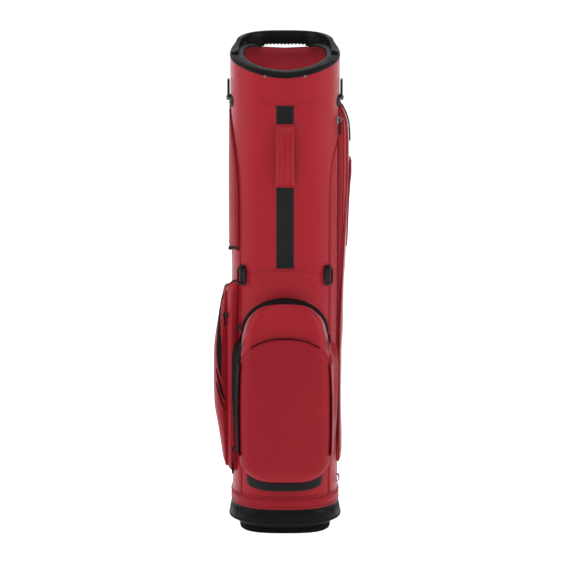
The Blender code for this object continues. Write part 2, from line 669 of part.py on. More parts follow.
LEFT_UPPER_ROWS = (
    (503, -0.357, -0.152, 3.4), (510, -0.36, -0.150, 4.2), (600, -0.36, -0.150, 4.2), (640, -0.357, -0.153, 4),
    (675, -0.35, -0.166, 3.6), (705, -0.34, -0.184, 3.2), (733, -0.32, -0.214, 2.8), (748, -0.29, -0.245, 2.4),
)
APPAREL_ROWS = (
    (117, 0.21, 0.33, 3), (122, 0.2, 0.345, 5.5), (140, 0.193, 0.35, 8.3), (170, 0.192, 0.352, 8),
    (220, 0.192, 0.355, 6.8), (310, 0.192, 0.355, 7), (350, 0.192, 0.355, 9), (420, 0.192, 0.355, 10.2),
    (475, 0.192, 0.355, 12.5), (530, 0.192, 0.355, 15), (580, 0.192, 0.355, 16.8), (645, 0.192, 0.355, 18.2),
    (690, 0.193, 0.352, 18), (717, 0.196, 0.345, 16.5), (738, 0.204, 0.332, 11), (750, 0.218, 0.315, 5.5),
    (755, 0.234, 0.30, 2.5),
)
APPAREL_SIDE_ROWS = (
    (500, 0.24, 0.285, 15, 16.2), (530, 0.226, 0.31, 16.3, 18), (580, 0.222, 0.32, 18, 20.8),
    (630, 0.222, 0.32, 19.2, 22.5), (655, 0.232, 0.31, 19.6, 21.5),
)


def make_left_pockets():
    """Low on the left a pocket on a pocket, and above them a flat one for valuables, closed along its hem."""
    pocket("left_lower_pocket", [(z * MM, a, b, 1 * MM, d * MM) for z, a, b, d in LEFT_LOWER_ROWS],
           "red_fabric", squareness=8.0, edge=2.5 * MM)
    pocket("left_outer_pocket", [(z * MM, a, b, i * MM, d * MM) for z, a, b, i, d in LEFT_OUTER_ROWS],
           "red_fabric", squareness=3.0, edge=1 * MM)
    pocket("left_upper_pocket", [(z * MM, a, b, 1 * MM, d * MM) for z, a, b, d in LEFT_UPPER_ROWS],
           "red_fabric", squareness=6.0, edge=0.8 * MM)
    rings = []
    for turn in spread(-0.352, -0.155, 8):
        section = ((1, 497), (3.6, 497), (3.6, 502.4), (1, 502.4))
        rings.append([on_shell(turn, z * MM, out * MM) for out, z in section])
    loft("left_upper_zip", rings, "black_fabric")


def make_right_pockets():
    """The tall apparel pocket, a small pocket on it, and a folded tab under it."""
    pocket("apparel_pocket", [(z * MM, a, b, 1 * MM, d * MM) for z, a, b, d in APPAREL_ROWS], "red_fabric",
           steps=12, squareness=5.0, edge=1.5 * MM)
    pocket("apparel_side_pocket", [(z * MM, a, b, i * MM, d * MM) for z, a, b, i, d in APPAREL_SIDE_ROWS],
           "red_fabric", squareness=4.0, edge=0.8 * MM)
    rings = []
    for z, out in ((82, 1.4), (84, 4.4), (89, 5.6), (94, 4.4), (96, 1.4)):
        rings.append(crescent(spread(0.196, 0.208, 2), z * MM, [GAP] * 3, [out * MM] * 3))
    loft("side_tab", rings, "red_fabric")


# ---- Webbing, handles and rings --------------------------------------------------------------------------

STRAP_HALF_WIDTH = 14.6 * MM
STRAP_SPAN = (478 * MM, 764 * MM)
GRIP_SPAN = (620 * MM, 738 * MM)


def make_spine_strap():
    turn = turn_at_x(STRAP_HALF_WIDTH, STRAP_SPAN[0])
    turns = spread(-turn, turn, 3)
    rings = [crescent(turns, z, [GAP] * 4, [2 * MM] * 4) for z in spread(*STRAP_SPAN, 2)]
    loft("spine_strap", rings, "black_fabric")


def make_lift_handle():
    """The padded grip: it is sewn to the strap at both ends and stands clear of it in between."""
    half = 16.8 * MM
    rings = []
    for share in spread(0, 1, 16):
        z = GRIP_SPAN[0] + (GRIP_SPAN[1] - GRIP_SPAN[0]) * share
        stand = (2.5 + 19 * sin(pi * share) ** 0.75) * MM
        thick = (2.5 + 5 * sin(pi * share) ** 0.5) * MM
        y = on_shell(0, z).y
        ring = []
        for x, out in ((-half, 0.15), (-0.8 * half, 0), (0.8 * half, 0), (half, 0.15),
                       (half, 0.7), (0.75 * half, 1), (-0.75 * half, 1), (-half, 0.7)):
            ring.append(Vector((x, y - stand - out * thick, z)))
        rings.append(ring)
    loft("lift_handle", rings, "red_fabric")


def make_base_strap():
    """The webbing grab loop under the ball pocket, bowed off the shell."""
    rings = []
    for share in spread(-1, 1, 16):
        turn = turn_at_x((-4 + 64 * share) * MM, 90 * MM)
        stand = (1.0 + 17 * (1 - share ** 2) ** 0.7) * MM
        rings.append([on_shell(turn, z * MM, stand + out * MM) for out, z in ((0, 84), (2, 84), (2, 98), (0, 98))])
    loft("base_strap", rings, "black_fabric")


def ring_frame(turn, bar_height):
    """The middle of a ring's bar, the way out from the shell, and the bar's direction."""
    out = outward(turn, bar_height)
    return on_shell(turn, bar_height, 4.4 * MM), out, Vector((-out.y, out.x, 0))


def make_ring(name, turn, bar_height, size, way):
    """A strap ring in a bored webbing tab on the shell. It swings about its own bar, up (1) or down (-1) at rest."""
    width, height = size
    centre, out, along = ring_frame(turn, bar_height)
    keeper_width = min(13 * MM, width - 11 * MM)
    keeper = box(f"{name}_keeper", (7.4 * MM, keeper_width, 14 * MM), centre - Vector((0, 0, way * 1.5 * MM)),
                 "black_fabric", turned_to(out))
    bore = rod("bore", 2.0 * MM, centre - along * 10 * MM, centre + along * 10 * MM, "black_fabric", 12)
    combine(keeper, [bore], "DIFFERENCE")
    corner = 4 * MM
    outline = []
    for right, far, first in ((1, 0, -pi / 2), (1, 1, 0), (-1, 1, pi / 2), (-1, 0, pi)):
        middle = right * (width / 2 - corner), height - corner if far else corner
        for step in range(3):
            angle = first + pi / 2 * step / 2
            outline.append((middle[0] + corner * cos(angle), way * (middle[1] + corner * sin(angle))))
    ring = wire(name, [centre + along * x + Vector((0, 0, z)) for x, z in outline], 1.4 * MM, "black_plastic",
                cyclic=True)
    set_pivot(ring, centre)


def make_rings():
    for side, sign in SIDES.items():
        make_ring(f"strap_ring_upper_{side}", sign * 0.235, 766 * MM, (26 * MM, 31 * MM), 1)
        turn = turn_at_x(sign * 73 * MM, 470 * MM)
        make_ring(f"strap_ring_lower_{side}", turn, 473 * MM, (20 * MM, 29 * MM), -1)


# ---- Zip sliders -----------------------------------------------------------------------------------------

def zips():
    """Where each slider rests: its name, place, the way the zip faces, the way it runs, and its pull's length."""
    up = Vector((0, 0, 1))
    apparel = on_shell(0.181, 731 * MM, 1.6 * MM), outward(0.181, 731 * MM)
    outer = on_shell(-0.1815, 385 * MM, 13.6 * MM), outward(-0.1815, 385 * MM)
    radial, tangent = arch_way(-radians(83)), arch_way(radians(7))
    return (
        ("apparel", *apparel, up, 26 * MM),
        ("left_outer", *outer, up, 20 * MM),
        ("ball_side", Vector((-86.6 * MM, -90 * MM, 152 * MM)), Vector((-1, 0, 0)), up, 28 * MM),
        ("ball_top", ARCH_CENTRE + radial * (ARCH_RADIUS + 3.8 * MM), radial, tangent, 15 * MM),
    )


BRIDGE = 5.4 * MM                   # of a slider: its hole, above the zip


def make_slider(name, place, out, up, pull_length):
    """A slider with a pull that hangs from its bridge."""
    along = up.cross(out)
    turn = Matrix((out, along, up)).transposed()
    bridge = place + out * BRIDGE
    block = box(f"{name}_slider", (3 * MM, 7 * MM, 11 * MM), place + out * 1.5 * MM, "grey_plastic", turn)
    arch = box("arch", (5.4 * MM, 2.4 * MM, 7 * MM), place + out * 5 * MM, "grey_plastic", turn)
    hole = rod("hole", 1.3 * MM, bridge - along * 4 * MM, bridge + along * 4 * MM, "grey_plastic", 10)
    combine(arch, [hole], "DIFFERENCE")
    combine(block, [arch], "UNION")
    set_pivot(block, place)
    half, low = 2.2 * MM, -pull_length
    loop = [(half, 0), (half, low * 0.9), (half * 0.5, low), (-half * 0.5, low), (-half, low * 0.9), (-half, 0)]
    pull = wire(f"{name}_pull", [bridge + along * x + up * z for x, z in loop], 0.8 * MM, "black_fabric", cyclic=True)
    set_pivot(pull, bridge)


def main():
    make_panels()
    make_cuff()
    make_cuff_handle()
    make_cuff_rivets()
    make_dividers()
    make_stays()
    make_base_cup()
    make_base_band()
    make_foot()
    make_leg_bracket()
    for side, sign in SIDES.items():
        make_leg(side, sign)
        make_push_rod(side, sign)
    make_ball_pocket()
    make_ball_gusset()
    make_left_pockets()
    make_right_pockets()
    make_spine_strap()
    make_lift_handle()
    make_base_strap()
    make_rings()
    for zipper in zips():
        make_slider(*zipper)
    for thing in bag.objects:
        thing.data.shade_smooth()
        thing.data.set_sharp_from_angle(angle=radians(35))


clear_scene()
bag = bpy.data.collections.new("golf_stand_bag")
bpy.context.scene.collection.children.link(bag)
main()
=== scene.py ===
"""Metres, +Z up. The player's side faces -Y, the legs are on the +Y side, and +X is the right seen from the
front.
"""

from bisect import bisect_left
from math import asin, atan2, ceil, cos, pi, radians, sin, sqrt

import bmesh
import bpy
from mathutils import Matrix, Vector, noise


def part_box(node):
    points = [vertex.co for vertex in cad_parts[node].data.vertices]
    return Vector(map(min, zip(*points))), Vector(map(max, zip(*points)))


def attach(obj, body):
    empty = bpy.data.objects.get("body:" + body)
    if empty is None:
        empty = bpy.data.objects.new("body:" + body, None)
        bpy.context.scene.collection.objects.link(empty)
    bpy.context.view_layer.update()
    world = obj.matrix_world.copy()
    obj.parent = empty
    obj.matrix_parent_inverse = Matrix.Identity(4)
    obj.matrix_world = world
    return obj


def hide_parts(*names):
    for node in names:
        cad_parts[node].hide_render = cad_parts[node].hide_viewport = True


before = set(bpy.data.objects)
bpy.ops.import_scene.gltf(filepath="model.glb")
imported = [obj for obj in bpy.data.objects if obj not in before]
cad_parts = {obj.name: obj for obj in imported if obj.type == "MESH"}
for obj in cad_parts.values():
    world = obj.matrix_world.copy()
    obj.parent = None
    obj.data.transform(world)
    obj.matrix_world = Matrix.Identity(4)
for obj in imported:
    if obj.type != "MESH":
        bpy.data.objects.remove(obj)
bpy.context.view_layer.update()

MM = 0.001
DOWN = Vector((0, 0, -1))
UP = Vector((0, 0, 1))
SIDES = {"left": -1, "right": 1}
BAG = "bag"

# The shell, as the CAD part has it: an oval tube, a little wider and deeper at its mouth.
SHELL_BOTTOM, SHELL_TOP = 69 * MM, 820 * MM
HALF_WIDTH = (92.5 * MM, 95 * MM)
HALF_DEPTH = (103.5 * MM, 108 * MM)
SQUARENESS = 2.4
WALL = 4 * MM
SEAMS = (-0.36, -0.14, 0.14, 0.36)  # where the panels meet, in turns from the middle of the front
RIM_HEIGHT, RIM_SLOPE, RIM_DIP = 834.5 * MM, 0.11, 7 * MM
RIM_RISE = 11 * MM  # of the rim's sides, above its sloping plane
RIM_LIP, RIM_LIP_SIDE = 10 * MM, 5 * MM  # height of the rim's outer face, in front and at the sides
TOTAL_HEIGHT = 866 * MM


# ---- Numbers and curves ----------------------------------------------------------------------------------

def spread(low, high, steps):
    """steps + 1 values from low to high."""
    return [low + (high - low) * i / steps for i in range(steps + 1)]


def crowded(steps):
    """steps + 1 values from -1 to 1, closer together at both ends."""
    return [sin(pi / 2 * value) for value in spread(-1, 1, steps)]


def in_mm(rows):
    """Rows of millimetres, as rows of metres."""
    return [tuple(value * MM for value in row) for row in rows]


def ramp(value, start, end):
    """0 before start, 1 after end, and straight in between."""
    return min(max((value - start) / (end - start), 0.0), 1.0)


def soft_ramp(value, start, end):
    t = ramp(value, start, end)
    return t * t * (3 - 2 * t)


def bulge(u, squareness):
    """From 0 at u = -1 and 1 to 1 in the middle: the larger the squareness, the flatter the middle."""
    return max(0.0, 1 - abs(u) ** squareness) ** (1 / squareness)


def wobble(point, scale, seed=0.0):
    """Smooth noise from -1 to 1 at a point, with features about scale long."""
    return noise.noise(Vector(point) / scale + Vector((seed, 3.7 * seed, 0.3)))


def slopes(xs, ys):
    """Slopes for a curve through the points that never overshoots them."""
    gaps = [(ys[i + 1] - ys[i]) / (xs[i + 1] - xs[i]) for i in range(len(xs) - 1)]
    made = [gaps[0]]
    for before, after in zip(gaps, gaps[1:]):
        made.append(0.0 if before * after <= 0 else 2 * before * after / (before + after))
    return made + [gaps[-1]]


def smooth(rows, z, column):
    """The value in that column at height z (column 0, in the rows' own units), on a smooth curve."""
    xs, ys = [row[0] for row in rows], [row[column] for row in rows]
    z = min(max(z, xs[0]), xs[-1])
    i = min(max(bisect_left(xs, z), 1), len(xs) - 1)
    rise = slopes(xs, ys)
    span = xs[i] - xs[i - 1]
    t = (z - xs[i - 1]) / span
    return ((1 + 2 * t) * (1 - t) ** 2 * ys[i - 1] + t * (1 - t) ** 2 * span * rise[i - 1]
            + t * t * (3 - 2 * t) * ys[i] + t * t * (t - 1) * span * rise[i])


def lengths_along(points):
    """A line's length up to each of its points."""
    lengths = [0.0]
    for a, b in zip(points, points[1:]):
        lengths.append(lengths[-1] + (b - a).length)
    return lengths


def find_length(lengths, at):
    """The number of the point past that length, and the share of the way to it from the one before."""
    k = min(max(bisect_left(lengths, at), 1), len(lengths) - 1)
    return k, (at - lengths[k - 1]) / max(lengths[k] - lengths[k - 1], 1e-9)


def resample(points, pitch, closed=False):
    """Points a pitch apart along a line through the given ones."""
    points = [Vector(p) for p in points] + ([Vector(points[0])] if closed else [])
    lengths = lengths_along(points)
    count = max(2, round(lengths[-1] / pitch))
    made = []
    for i in range(count if closed else count + 1):
        k, part = find_length(lengths, lengths[-1] * i / count)
        made.append(points[k - 1].lerp(points[k], part))
    return made


def rounded(points, pitch=3 * MM, passes=2, closed=False):
    """A smooth line near the given points, by cutting corners, with a point every pitch."""
    points = [Vector(p) for p in points]
    for _ in range(passes):
        pairs = list(zip(points, points[1:] + points[:1])) if closed else list(zip(points, points[1:]))
        cut = [p for a, b in pairs for p in (a.lerp(b, 0.25), a.lerp(b, 0.75))]
        points = cut if closed else [points[0], *cut[1:-1], points[-1]]
    return resample(points, pitch, closed)


# ---- The shell's surface ---------------------------------------------------------------------------------

def superellipse(angle, a, b, squareness=SQUARENESS):
    """A point on an oval, the angle counted from the front (-Y) towards +X."""
    s, c = sin(angle), cos(angle)
    power = 2 / squareness
    return a * abs(s) ** power * (1 if s >= 0 else -1), -b * abs(c) ** power * (1 if c >= 0 else -1)


def arc_table(steps=1440):
    """Angles round the oval, and the share of its length up to each."""
    angles = spread(0, 2 * pi, steps)
    points = [superellipse(angle, HALF_WIDTH[1], HALF_DEPTH[1]) for angle in angles]
    lengths = [0.0]
    for (x0, y0), (x1, y1) in zip(points, points[1:]):
        lengths.append(lengths[-1] + sqrt((x1 - x0) ** 2 + (y1 - y0) ** 2))
    return angles, [length / lengths[-1] for length in lengths], lengths[-1]


ANGLES, SHARES, GIRTH = arc_table()


def angle_at(turn):
    """The oval's angle at a share of its length from the middle of the front; negative is to the left."""
    share = turn % 1
    i = min(max(bisect_left(SHARES, share), 1), len(SHARES) - 1)
    part = (share - SHARES[i - 1]) / (SHARES[i] - SHARES[i - 1])
    return ANGLES[i - 1] + (ANGLES[i] - ANGLES[i - 1]) * part


def between(pair, z):
    return pair[0] + (pair[1] - pair[0]) * z / SHELL_TOP


def on_shell(turn, z, out=0.0):
    """The point at that turn and height, the given distance outside the shell's outer face."""
    x, y = superellipse(angle_at(turn), between(HALF_WIDTH, z) + out, between(HALF_DEPTH, z) + out)
    return Vector((x, y, z))


def turn_at_x(x, z, front=True):
    """The turn where the shell's front, or its rear, passes that x."""
    share = (abs(x) / between(HALF_WIDTH, z)) ** (SQUARENESS / 2)
    angle = asin(min(share, 1))
    i = min(max(bisect_left(ANGLES, angle), 1), len(ANGLES) - 1)
    part = (angle - ANGLES[i - 1]) / (ANGLES[i] - ANGLES[i - 1])
    turn = SHARES[i - 1] + (SHARES[i] - SHARES[i - 1]) * part
    turn = turn if front else 0.5 - turn
    return turn if x >= 0 else -turn


def outward(turn, z=SHELL_TOP):
    """The horizontal normal of the shell's outer face."""
    step = 0.002
    along = on_shell(turn + step, z) - on_shell(turn - step, z)
    return Vector((along.y, -along.x, 0)).normalized()


def front_point(x, z, out=0.0):
    """The point of the shell's front at that x and height."""
    return on_shell(turn_at_x(x, z), z, out)


def sideways(x, y):
    """How far round from the front or the rear a point is: 0 there, and 1 at the two sides."""
    across, along = (abs(x) / HALF_WIDTH[1]) ** SQUARENESS, (abs(y) / HALF_DEPTH[1]) ** SQUARENESS
    return (across / (across + along)) ** 0.62


def rim_height(x, y, above=0.0):
    return RIM_HEIGHT + RIM_SLOPE * y + RIM_RISE * sideways(x, y) + above


def at_rim(turn, out, above):
    """A point by the mouth, measured from the rim's top, which dips under the grab handle."""
    point = on_shell(turn, SHELL_TOP, out)
    dip = RIM_DIP * soft_ramp(abs(turn % 1 - 0.5), 0.104, 0.072)
    point.z = rim_height(point.x, point.y, above) - dip
    return point


def rim_lip(turn):
    """The height of the rim's outer face: it narrows towards the sides, and stays narrow behind them."""
    point = on_shell(turn, SHELL_TOP)
    share = sideways(point.x, point.y) if point.y < 0 else 1.0
    return RIM_LIP + (RIM_LIP_SIDE - RIM_LIP) * share


# ---- Building meshes -------------------------------------------------------------------------------------

def finish_piece(thing, material, body, replaces=()):
    """Gives a piece its finish and its body, and hides the CAD nodes that it stands for."""
    thing.data.materials.clear()
    thing.data.materials.append(MATERIALS[material])
    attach(thing, body)
    if replaces:
        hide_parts(*replaces)
    return thing


def piece(name, shape, material, body=BAG, replaces=(), slot=None, sharp=40):
    """An object from a bmesh, shaded smooth except at edges sharper than the angle."""
    bmesh.ops.recalc_face_normals(shape, faces=shape.faces)
    mesh = bpy.data.meshes.new(name)
    shape.to_mesh(mesh)
    shape.free()
    thing = bpy.data.objects.new(name, mesh)
    bpy.context.scene.collection.objects.link(thing)
    mesh.shade_smooth()
    mesh.set_sharp_from_angle(angle=radians(sharp))
    return finish_piece(thing, material, body, replaces)


def add_loft(shape, rings, closed=False, caps=True):
    """Adds a skin through rings of points to the bmesh, capped at its ends or joined end to end."""
    rows = [[shape.verts.new(point) for point in ring] for ring in rings]
    pairs = list(zip(rows, rows[1:]))
    if closed:
        pairs.append((rows[-1], rows[0]))
    for low, high in pairs:
        for i in range(len(low)):
            j = (i + 1) % len(low)
            shape.faces.new((low[i], low[j], high[j], high[i]))
    if not closed and caps:
        cap_faces = [shape.faces.new(rows[0]), shape.faces.new(rows[-1])]
        bmesh.ops.triangulate(shape, faces=[f for f in cap_faces if len(f.verts) > 4])


def loft(name, rings, material, closed=False, **rest):
    shape = bmesh.new()
    add_loft(shape, rings, closed)
    return piece(name, shape, material, **rest)


def frames_along(points, closed=False, hint=None):
    """At each point of a line, its direction and two across it that turn as little as they can."""
    count = len(points)
    ways = []
    for i in range(count):
        before = points[i - 1] if i or closed else points[0]
        after = points[(i + 1) % count] if i < count - 1 or closed else points[-1]
        ways.append((after - before).normalized())
    first = hint or (UP if abs(ways[0].z) < 0.9 else Vector((1, 0, 0)))
    side = (first - ways[0] * first.dot(ways[0])).normalized()
    made = []
    for way in ways:
        side = (side - way * side.dot(way)).normalized()
        made.append((way, side, way.cross(side)))
    return made


def add_tube(shape, points, radius, sides=10, closed=False, round_ends=True, flat=1.0, hint=None):
    """Adds a round tube along the points. radius may be a number or a function of the share of the length."""
    points = [Vector(p) for p in points]
    size = radius if callable(radius) else lambda share: radius
    if round_ends and not closed:
        way = (points[1] - points[0]).normalized()
        points.insert(0, points[0] - way * size(0) * 0.5)
        way = (points[-1] - points[-2]).normalized()
        points.append(points[-1] + way * size(1) * 0.5)
    rings = []
    count = len(points)
    for i, (point, (_, side, across)) in enumerate(zip(points, frames_along(points, closed, hint))):
        share = i / (count - 1)
        reach = size(share)
        if round_ends and not closed and i in (0, count - 1):
            reach *= 0.45
        rings.append([
            point + (side * cos(2 * pi * k / sides) + across * flat * sin(2 * pi * k / sides)) * reach
            for k in range(sides)
        ])
    add_loft(shape, rings, closed)


def tube(name, points, radius, material, sides=10, closed=False, **rest):
    shape = bmesh.new()
    add_tube(shape, points, radius, sides, closed)
    return piece(name, shape, material, **rest)


def add_turned(shape, profile, start, way, sides=32):
    """Adds a turned solid: profile is (radius, distance along) from one end to the other."""
    way = way.normalized()
    side = way.orthogonal().normalized()
    across = way.cross(side)
    rings = []
    for radius, along in profile:
        centre = start + way * along
        rings.append([
            centre + (side * cos(2 * pi * k / sides) + across * sin(2 * pi * k / sides)) * radius
            for k in range(sides)
        ])
    add_loft(shape, rings)


def turned(name, profile, start, way, material, sides=32, **rest):
    shape = bmesh.new()
    add_turned(shape, profile, start, way, sides)
    return piece(name, shape, material, **rest)


def add_block(shape, size, centre, turn=None, edge=0.6 * MM):
    """Adds a box with rounded edges. turn is a 3x3 matrix."""
    made = bmesh.ops.create_cube(shape, size=1)
    verts = made["verts"]
    bmesh.ops.scale(shape, vec=size, verts=verts)
    edges = {e for v in verts for e in v.link_edges}
    made = bmesh.ops.bevel(shape, geom=list(edges), offset=edge, segments=3, affect="EDGES", profile=0.5)
    verts = list({v for f in made["faces"] for v in f.verts} | {v for v in verts if v.is_valid})
    if turn:
        bmesh.ops.rotate(shape, matrix=turn, verts=verts)
    bmesh.ops.translate(shape, vec=centre, verts=verts)
    return verts


STRAP_SECTION = (                   # of webbing: shares of its half width and of its thickness
    (-1, 0.3), (-0.96, 0.0), (-0.5, 0), (0, 0), (0.5, 0), (0.96, 0.0), (1, 0.3), (1, 0.7), (0.96, 1),
    (0.5, 1), (0, 1), (-0.5, 1), (-0.96, 1), (-1, 0.7),
)


def add_strap(shape, points, normals, width, thick):
    """Adds flat webbing along the points: normals are the way out of its face."""
    points = [Vector(p) for p in points]
    rings = []
    half = width / 2
    for i, (point, normal) in enumerate(zip(points, normals)):
        way = (points[min(i + 1, len(points) - 1)] - points[max(i - 1, 0)]).normalized()
        across = way.cross(normal).normalized()
        normal = across.cross(way).normalized()
        ring = []
        for u, v in STRAP_SECTION:
            ring.append(point + across * half * u + normal * thick * v)
        rings.append(ring)
    add_loft(shape, rings)


STITCH_ARC = ((0, -0.6), (0.18, 0.5), (0.5, 0.85), (0.82, 0.5), (1, -0.6))  # (share along it, rise in radii)


def add_stitches(shape, points, normals, pitch=3.4 * MM, length=2.3 * MM, radius=0.32 * MM, lift=0.05 * MM):
    """Adds a row of thread stitches along the points, lying on the face whose ways out are normals."""
    fine = [Vector(p) for p in points]
    lengths = lengths_along(fine)
    count = int(lengths[-1] / pitch)

    def at(distance):
        k, part = find_length(lengths, distance)
        normal = Vector(normals[k - 1]).lerp(Vector(normals[k]), part).normalized()
        return fine[k - 1].lerp(fine[k], part), normal

    for i in range(count):
        start = (i + 0.5) * lengths[-1] / count - length / 2
        line = []
        for share, rise in STITCH_ARC:
            place, normal = at(start + length * share)
            line.append(place + normal * (lift + radius * rise))
        add_tube(shape, line, radius, 5, round_ends=False)


def stitches(name, lines, material="red_thread", body=BAG, **rest):
    """One piece of stitching: lines is a list of (points, normals)."""
    shape = bmesh.new()
    for points, normals in lines:
        add_stitches(shape, points, normals, **rest)
    return piece(name, shape, material, body=body, sharp=60)


def shell_line(places, out):
    """Points and ways out along (turn, z) places on the shell."""
    points = [on_shell(turn, z, out) for turn, z in places]
    return points, [outward(turn, z) for turn, z in places]


def front_line(places, out):
    """The same for (x, z) places on the shell's front."""
    return shell_line([(turn_at_x(x, z), z) for x, z in places], out)


# ---- Materials -------------------------------------------------------------------------------------------

class Recipe:
    """A Principled material under construction."""

    def __init__(self, name, colour, **sockets):
        self.material = bpy.data.materials.new(name)
        self.material.use_nodes = True
        self.tree = self.material.node_tree
        self.shader = self.tree.nodes["Principled BSDF"]
        self.shader.inputs["Base Color"].default_value = (*colour, 1)
        self.colour = colour
        for socket, value in sockets.items():
            self.shader.inputs[socket.replace("_", " ")].default_value = value
        place = self.node("TexCoord").outputs["Object"]
        self.place = place
        parts = self.node("SeparateXYZ", {"Vector": place}).outputs
        self.x, self.y, self.z = parts["X"], parts["Y"], parts["Z"]

    def node(self, kind, inputs=None, **settings):
        made = self.tree.nodes.new("ShaderNode" + kind)
        for name, value in settings.items():
            setattr(made, name, value)
        for name, value in (inputs or {}).items():
            if isinstance(value, bpy.types.NodeSocket):
                self.tree.links.new(value, made.inputs[name])
            else:
                made.inputs[name].default_value = value
        return made

    def math(self, operation, a, b=0.0):
        return self.node("Math", {0: a, 1: b}, operation=operation).outputs[0]

    def noise(self, size, detail=3.0, stretch=(1, 1, 1), rough=0.55):
        """Noise with features about size long, stretched along the axes."""
        scaled = self.node("Mapping", {"Vector": self.place, "Scale": [1 / s for s in stretch]}).outputs[0]
        return self.node("TexNoise", {"Vector": scaled, "Scale": 1 / size, "Detail": detail,
                                      "Roughness": rough}).outputs["Fac"]

    def grain(self, size):
        return self.node("TexVoronoi", {"Vector": self.place, "Scale": 1 / size}).outputs["Distance"]

    def weave(self, pitch, turned=False):
        """Threads going round the bag and up it, or at 45 degrees to that: about -1 to 1."""
        round_it = self.math("MULTIPLY", self.math("ARCTAN2", self.y, self.x), 0.1)
        across, along = round_it, self.z
        if turned:
            across, along = self.math("ADD", round_it, self.z), self.math("SUBTRACT", round_it, self.z)
        wave = [self.math("SINE", self.math("MULTIPLY", way, 2 * pi / pitch)) for way in (across, along)]
        return self.math("MULTIPLY", *wave)

    def fit(self, value, low, high, start=0.0, end=1.0):
        return self.node("MapRange", {"Value": value, "From Min": start, "From Max": end, "To Min": low,
                                      "To Max": high}).outputs["Result"]

    def base_colour(self):
        """The shader's colour socket, and what feeds it so far."""
        before = self.shader.inputs["Base Color"]
        return before, before.links[0].from_socket if before.links else None

    def shade(self, value, spread_by):
        """Varies the colour's brightness by that share either way, as value goes from 0 to 1."""
        tint = self.fit(value, 1 - spread_by, 1 + spread_by, 0.25, 0.75)
        before, source = self.base_colour()
        bright = self.node("VectorMath", {0: source or self.colour, "Scale": tint}, operation="SCALE")
        self.tree.links.new(bright.outputs[0], before)
        return self

    def rough(self, value, low, high):
        self.tree.links.new(self.fit(value, low, high, 0.25, 0.75), self.shader.inputs["Roughness"])
        return self

    def bump(self, *layers):
        """Each layer is (height value, depth in metres)."""
        normal = None
        for value, depth in layers:
            inputs = {"Height": value, "Distance": depth, "Strength": 1.0}
            if normal:
                inputs["Normal"] = normal
            normal = self.node("Bump", inputs).outputs["Normal"]
        self.tree.links.new(normal, self.shader.inputs["Normal"])
        return self

    def edge_wear_and_highlight(self, colour, start=0.53, end=0.62):
        """Lets the colour through along sharp convex edges: rubbed wear, and partly a painted highlight."""
        point = self.node("NewGeometry").outputs["Pointiness"]
        before, source = self.base_colour()
        mix = self.node("Mix", {"Factor": self.fit(point, 0.0, 0.6, start, end)}, data_type="RGBA")
        if source:
            self.tree.links.new(source, mix.inputs["A"])
        else:
            mix.inputs["A"].default_value = (*self.colour, 1)
        mix.inputs["B"].default_value = (*colour, 1)
        self.tree.links.new(mix.outputs["Result"], before)
        return self


def satin(name, colour, tint=(1.0, 0.50, 0.62, 1), sheen=0.10, pitch=0.9 * MM, roughness=(0.40, 0.50),
          specular=0.10):
    """Coated polyester: a fine weave, a soft sheen, and slow folds that the light picks up."""
    made = Recipe(name, colour, Specular_IOR_Level=specular, Sheen_Weight=sheen, Sheen_Roughness=0.22,
                  Sheen_Tint=tint)
    cloud = made.noise(0.07, stretch=(1, 1, 1.8))
    weave = made.weave(pitch)
    made.shade(cloud, 0.05).shade(made.noise(0.004, 2), 0.03).shade(weave, 0.02)
    made.rough(made.noise(0.03), *roughness)
    made.bump((weave, 0.03 * MM), (made.noise(0.035, 2, (1, 1, 2.2)), 0.35 * MM))
    return made.material


def webbing(name, colour, pitch=2.4 * MM):
    """Heavy woven tape, its threads at 45 degrees."""
    made = Recipe(name, colour, Specular_IOR_Level=0.12, Sheen_Weight=0.03, Sheen_Roughness=0.5)
    weave = made.weave(pitch, turned=True)
    made.shade(made.noise(0.02), 0.12).shade(weave, 0.18)
    made.rough(made.noise(0.006), 0.55, 0.75)
    made.bump((weave, 0.12 * MM), (made.noise(0.0012), 0.05 * MM))
    return made.material


def moulded(name, colour, roughness, specular=0.35, grain=1.1 * MM, depth=0.04 * MM,
            edge=(0.016, 0.0165, 0.017)):
    """Plastic or rubber with a fine moulded texture, rubbed a little shiny along its edges: a lighter colour
    there, partly wear and partly a painted highlight.
    """
    made = Recipe(name, colour, Specular_IOR_Level=specular)
    made.shade(made.noise(0.03), 0.12)
    made.rough(made.noise(0.012), roughness - 0.06, roughness + 0.08)
    made.bump((made.grain(grain), depth), (made.noise(0.05, 2), 0.12 * MM))
    # lighter along sharp edges: rubbed wear, partly a painted highlight
    return made.edge_wear_and_highlight(edge).material


def brushed(name, colour, roughness, stretch=(1, 1, 60), size=0.0012):
    """Metal with fine streaks along it."""
    made = Recipe(name, colour, Metallic=1.0)
    streaks = made.noise(size, 4, stretch)
    made.shade(streaks, 0.06).rough(streaks, roughness - 0.08, roughness + 0.1)
    made.bump((streaks, 0.02 * MM))
    return made.material


RED = (0.292, 0.0100, 0.0182)
POLYESTER_WEAVE = 0.9 * MM


def lining(name, colour):
    """The mouth's lining: a satin painted darker near the rim and lighter further down, to even out the light
    on it.
    """
    made = Recipe(name, colour, Specular_IOR_Level=0.06)
    # painted light and shade: the colour goes from darker at the rim to lighter deeper in the mouth, where it
    # is in shade
    depth = made.fit(made.z, 0.25, 0.75, RIM_HEIGHT + 8.5 * MM, RIM_HEIGHT - 31.5 * MM)
    made.shade(depth, 0.62).shade(made.noise(0.05), 0.05)
    made.rough(made.noise(0.03), 0.6, 0.75)
    made.bump((made.weave(POLYESTER_WEAVE), 0.03 * MM))
    return made.material


